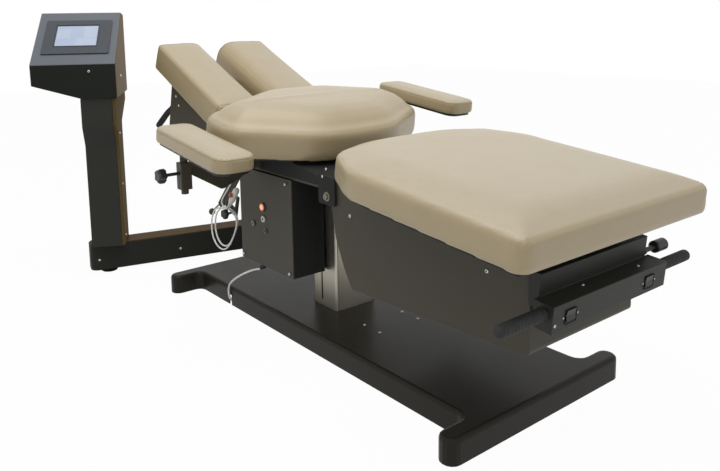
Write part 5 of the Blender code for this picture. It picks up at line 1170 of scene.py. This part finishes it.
screws("handle_box", "leg", [((BOX_FRONT, -0.2060, -0.047), FRONT), ((0.750, 0.128, -0.005), UP),
                             ((0.740, -0.0713, -0.005), UP)], 0.0036, 0.0020, LEG)

# %% [markdown]
# Where the lift's inner stage slides out of the column, a black ring keeps dust out. It lies on the lower
# tube's mouth, whose highest points give its outline, and closes round the upper tube without touching it.

# %% Column wiper
INSET, MARGIN = 0.001, 0.0022
WIPER_CORNER, WIPER_HEIGHT, WIPER_EDGE, WIPER_GAP = 0.007, 0.0050, 0.0010, 0.0002
inner_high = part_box("column_inner")[1]
tube = frame["nodes"]["column_outer"]
mouth_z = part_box("column_outer")[1].z
places = [tube.matrix_world @ vert.co for vert in tube.data.vertices]
mouth = [place for place in places if place.z > mouth_z - 0.001]
low = [min(place[axis] for place in mouth) + INSET for axis in (0, 1)]
high = [max(place[axis] for place in mouth) - INSET for axis in (0, 1)]
wall = min(high[axis] - inner_high[axis] for axis in (0, 1)) - MARGIN
wiper = surround(rounded(low, high, WIPER_CORNER), wall, WIPER_HEIGHT, WIPER_EDGE)
print("the wiper's ring is", round(wall * 1000, 1), "mm wide")
make("column_wiper", [(wiper, Matrix.Translation((0, 0, mouth_z + WIPER_GAP)))],
     "black_rubber", "base", STILL)

# %% [markdown]
# The console's screen sits in a frame that steps down to the glass. The step is a second, thinner frame.
# What the screen shows is left generic: a few tiles only slightly lighter or darker than the rest.

# %% Screen
SCREEN_LOW, SCREEN_HIGH = (-0.141, 0.103), (0.004, 0.225)
RIM_MARGIN, RIM_WALL, RIM_HEIGHT, RIM_EDGE, RIM_LEVEL = 0.0045, 0.0042, 0.0012, 0.0004, 0.0053
TILE_THICKNESS, TILE_LEVEL = 0.0002, 0.0043
TILE_ROWS = ((0.206, 0.221, ((0.02, 0.62), (0.66, 0.98))),
             (0.150, 0.202, ((0.02, 0.32), (0.35, 0.65), (0.68, 0.98))),
             (0.107, 0.146, ((0.02, 0.48), (0.52, 0.98))))
rim_low = tuple(value - RIM_MARGIN for value in SCREEN_LOW)
rim_high = tuple(value + RIM_MARGIN for value in SCREEN_HIGH)
rim = surround(rounded(rim_low, rim_high, 0.004), RIM_WALL, RIM_HEIGHT, RIM_EDGE)
make("screen_rim", [(rim, Matrix.Translation((0, 0, RIM_LEVEL)))], "dark_bezel", "console", SLOPE)
width = SCREEN_HIGH[0] - SCREEN_LOW[0]
tiles = {"pale": [], "deep": []}
for row, (bottom, top, shares) in enumerate(TILE_ROWS):
    for column, (start, end) in enumerate(shares):
        low = (SCREEN_LOW[0] + width * start, bottom)
        high = (SCREEN_LOW[0] + width * end, top)
        tone = "pale" if (row + column) % 2 else "deep"
        tile = slab(rounded(low, high, 0.002, 2), TILE_THICKNESS)
        tiles[tone].append((tile, Matrix.Translation((0, 0, TILE_LEVEL))))
for tone, parts in tiles.items():
    make(f"screen_tiles_{tone}", parts, "screen_glass", "console", SLOPE, MORE[tone])

# %% [markdown]
# The console's covers are screwed too: one screw on the lip of its front, one on the side of its head and
# three down the brown strip.

# %% Console screws
screws("console", "console", [((0.1177, -0.0138, 0.7857), FRONT), ((-0.02, 0.0782, 0.757), BACK)],
       0.0046, 0.0026, CONSOLE)
screws("strip", "console", [((0.030, 0.0685, z), BACK) for z in (0.151, 0.351, 0.546)],
       0.0040, 0.0022, CONSOLE)

# %% [markdown]
# The picture's background is white, and the floor is too. A plane of nearly white paint takes the table's
# soft shadow, and seen directly most of its colour is plain white light of strength 1, so the floor meets
# the background without a line. It isn't part of the table, so it is only staged.

# %% Floor
FLOOR_DROP = 0.0004
PLAIN_SHARE = 0.975
floor_mesh = bpy.data.meshes.new("floor")
ground = bmesh.new()
bmesh.ops.create_grid(ground, x_segments=1, y_segments=1, size=9.0)
ground.to_mesh(floor_mesh)
ground.free()
floor = placed("floor", floor_mesh)
floor.location.z = -FLOOR_DROP
paper = Finish("pale_floor", Roughness=0.9, Specular_IOR_Level=0.1)
rays = paper.tree.nodes.new("ShaderNodeLightPath")
seen = Term(paper, rays.outputs["Is Camera Ray"]) + Term(paper, rays.outputs["Is Glossy Ray"])
paper.done(Base_Color=paper.mix(paper.noise(2.0), (0.78, 0.78, 0.77), (0.81, 0.81, 0.80)))
glow = paper.node("ShaderNodeEmission", {}, {"Color": (1.0, 1.0, 1.0, 1.0), "Strength": 1.0})
lit_floor = Term(paper, paper.shader.outputs[0])
blend = paper.node("ShaderNodeMixShader", {}, {0: seen * PLAIN_SHARE, 1: lit_floor, 2: glow})
paper.tree.links.new(blend.socket, paper.tree.nodes["Material Output"].inputs["Surface"])
floor_mesh.materials.append(paper.material)

# %% [markdown]
# The light is a studio's: one wide lamp overhead and a little towards the camera, a weak one from the foot
# end, and an even grey from all round. What shows behind the table, in its gloss or straight, is white.

# %% Light
GREY_ROUND = 0.48
world = bpy.data.worlds.new("studio")
bpy.context.scene.world = world
world.use_nodes = True
sky = world.node_tree
back = sky.nodes["Background"]
path = sky.nodes.new("ShaderNodeLightPath")
back.inputs["Color"].default_value = (1.0, 1.0, 1.0, 1.0)
level = None
for ray in ("Is Camera Ray", "Is Glossy Ray", "Is Transmission Ray"):
    larger = sky.nodes.new("ShaderNodeMath")
    larger.operation = "MAXIMUM"
    larger.inputs[0].default_value = GREY_ROUND
    if level:
        sky.links.new(level, larger.inputs[0])
    sky.links.new(path.outputs[ray], larger.inputs[1])
    level = larger.outputs[0]
sky.links.new(level, back.inputs["Strength"])


def lamp(name, place, target, size, power):
    data = bpy.data.lights.new(name, "AREA")
    data.shape = "SQUARE"
    data.size = size
    data.energy = power
    aim = (Vector(target) - Vector(place)).to_track_quat("-Z", "Y")
    placed(name, data).matrix_world = Matrix.Translation(Vector(place)) @ aim.to_matrix().to_4x4()


lamp("overhead", (0.3, -0.3, 3.0), (0.2, 0.1, 0.4), 2.2, 43.0)
lamp("foot_fill", (3.2, -1.6, 1.4), (0.2, 0.0, 0.4), 1.6, 2.5)
bpy.context.scene.view_settings.view_transform = "Standard"
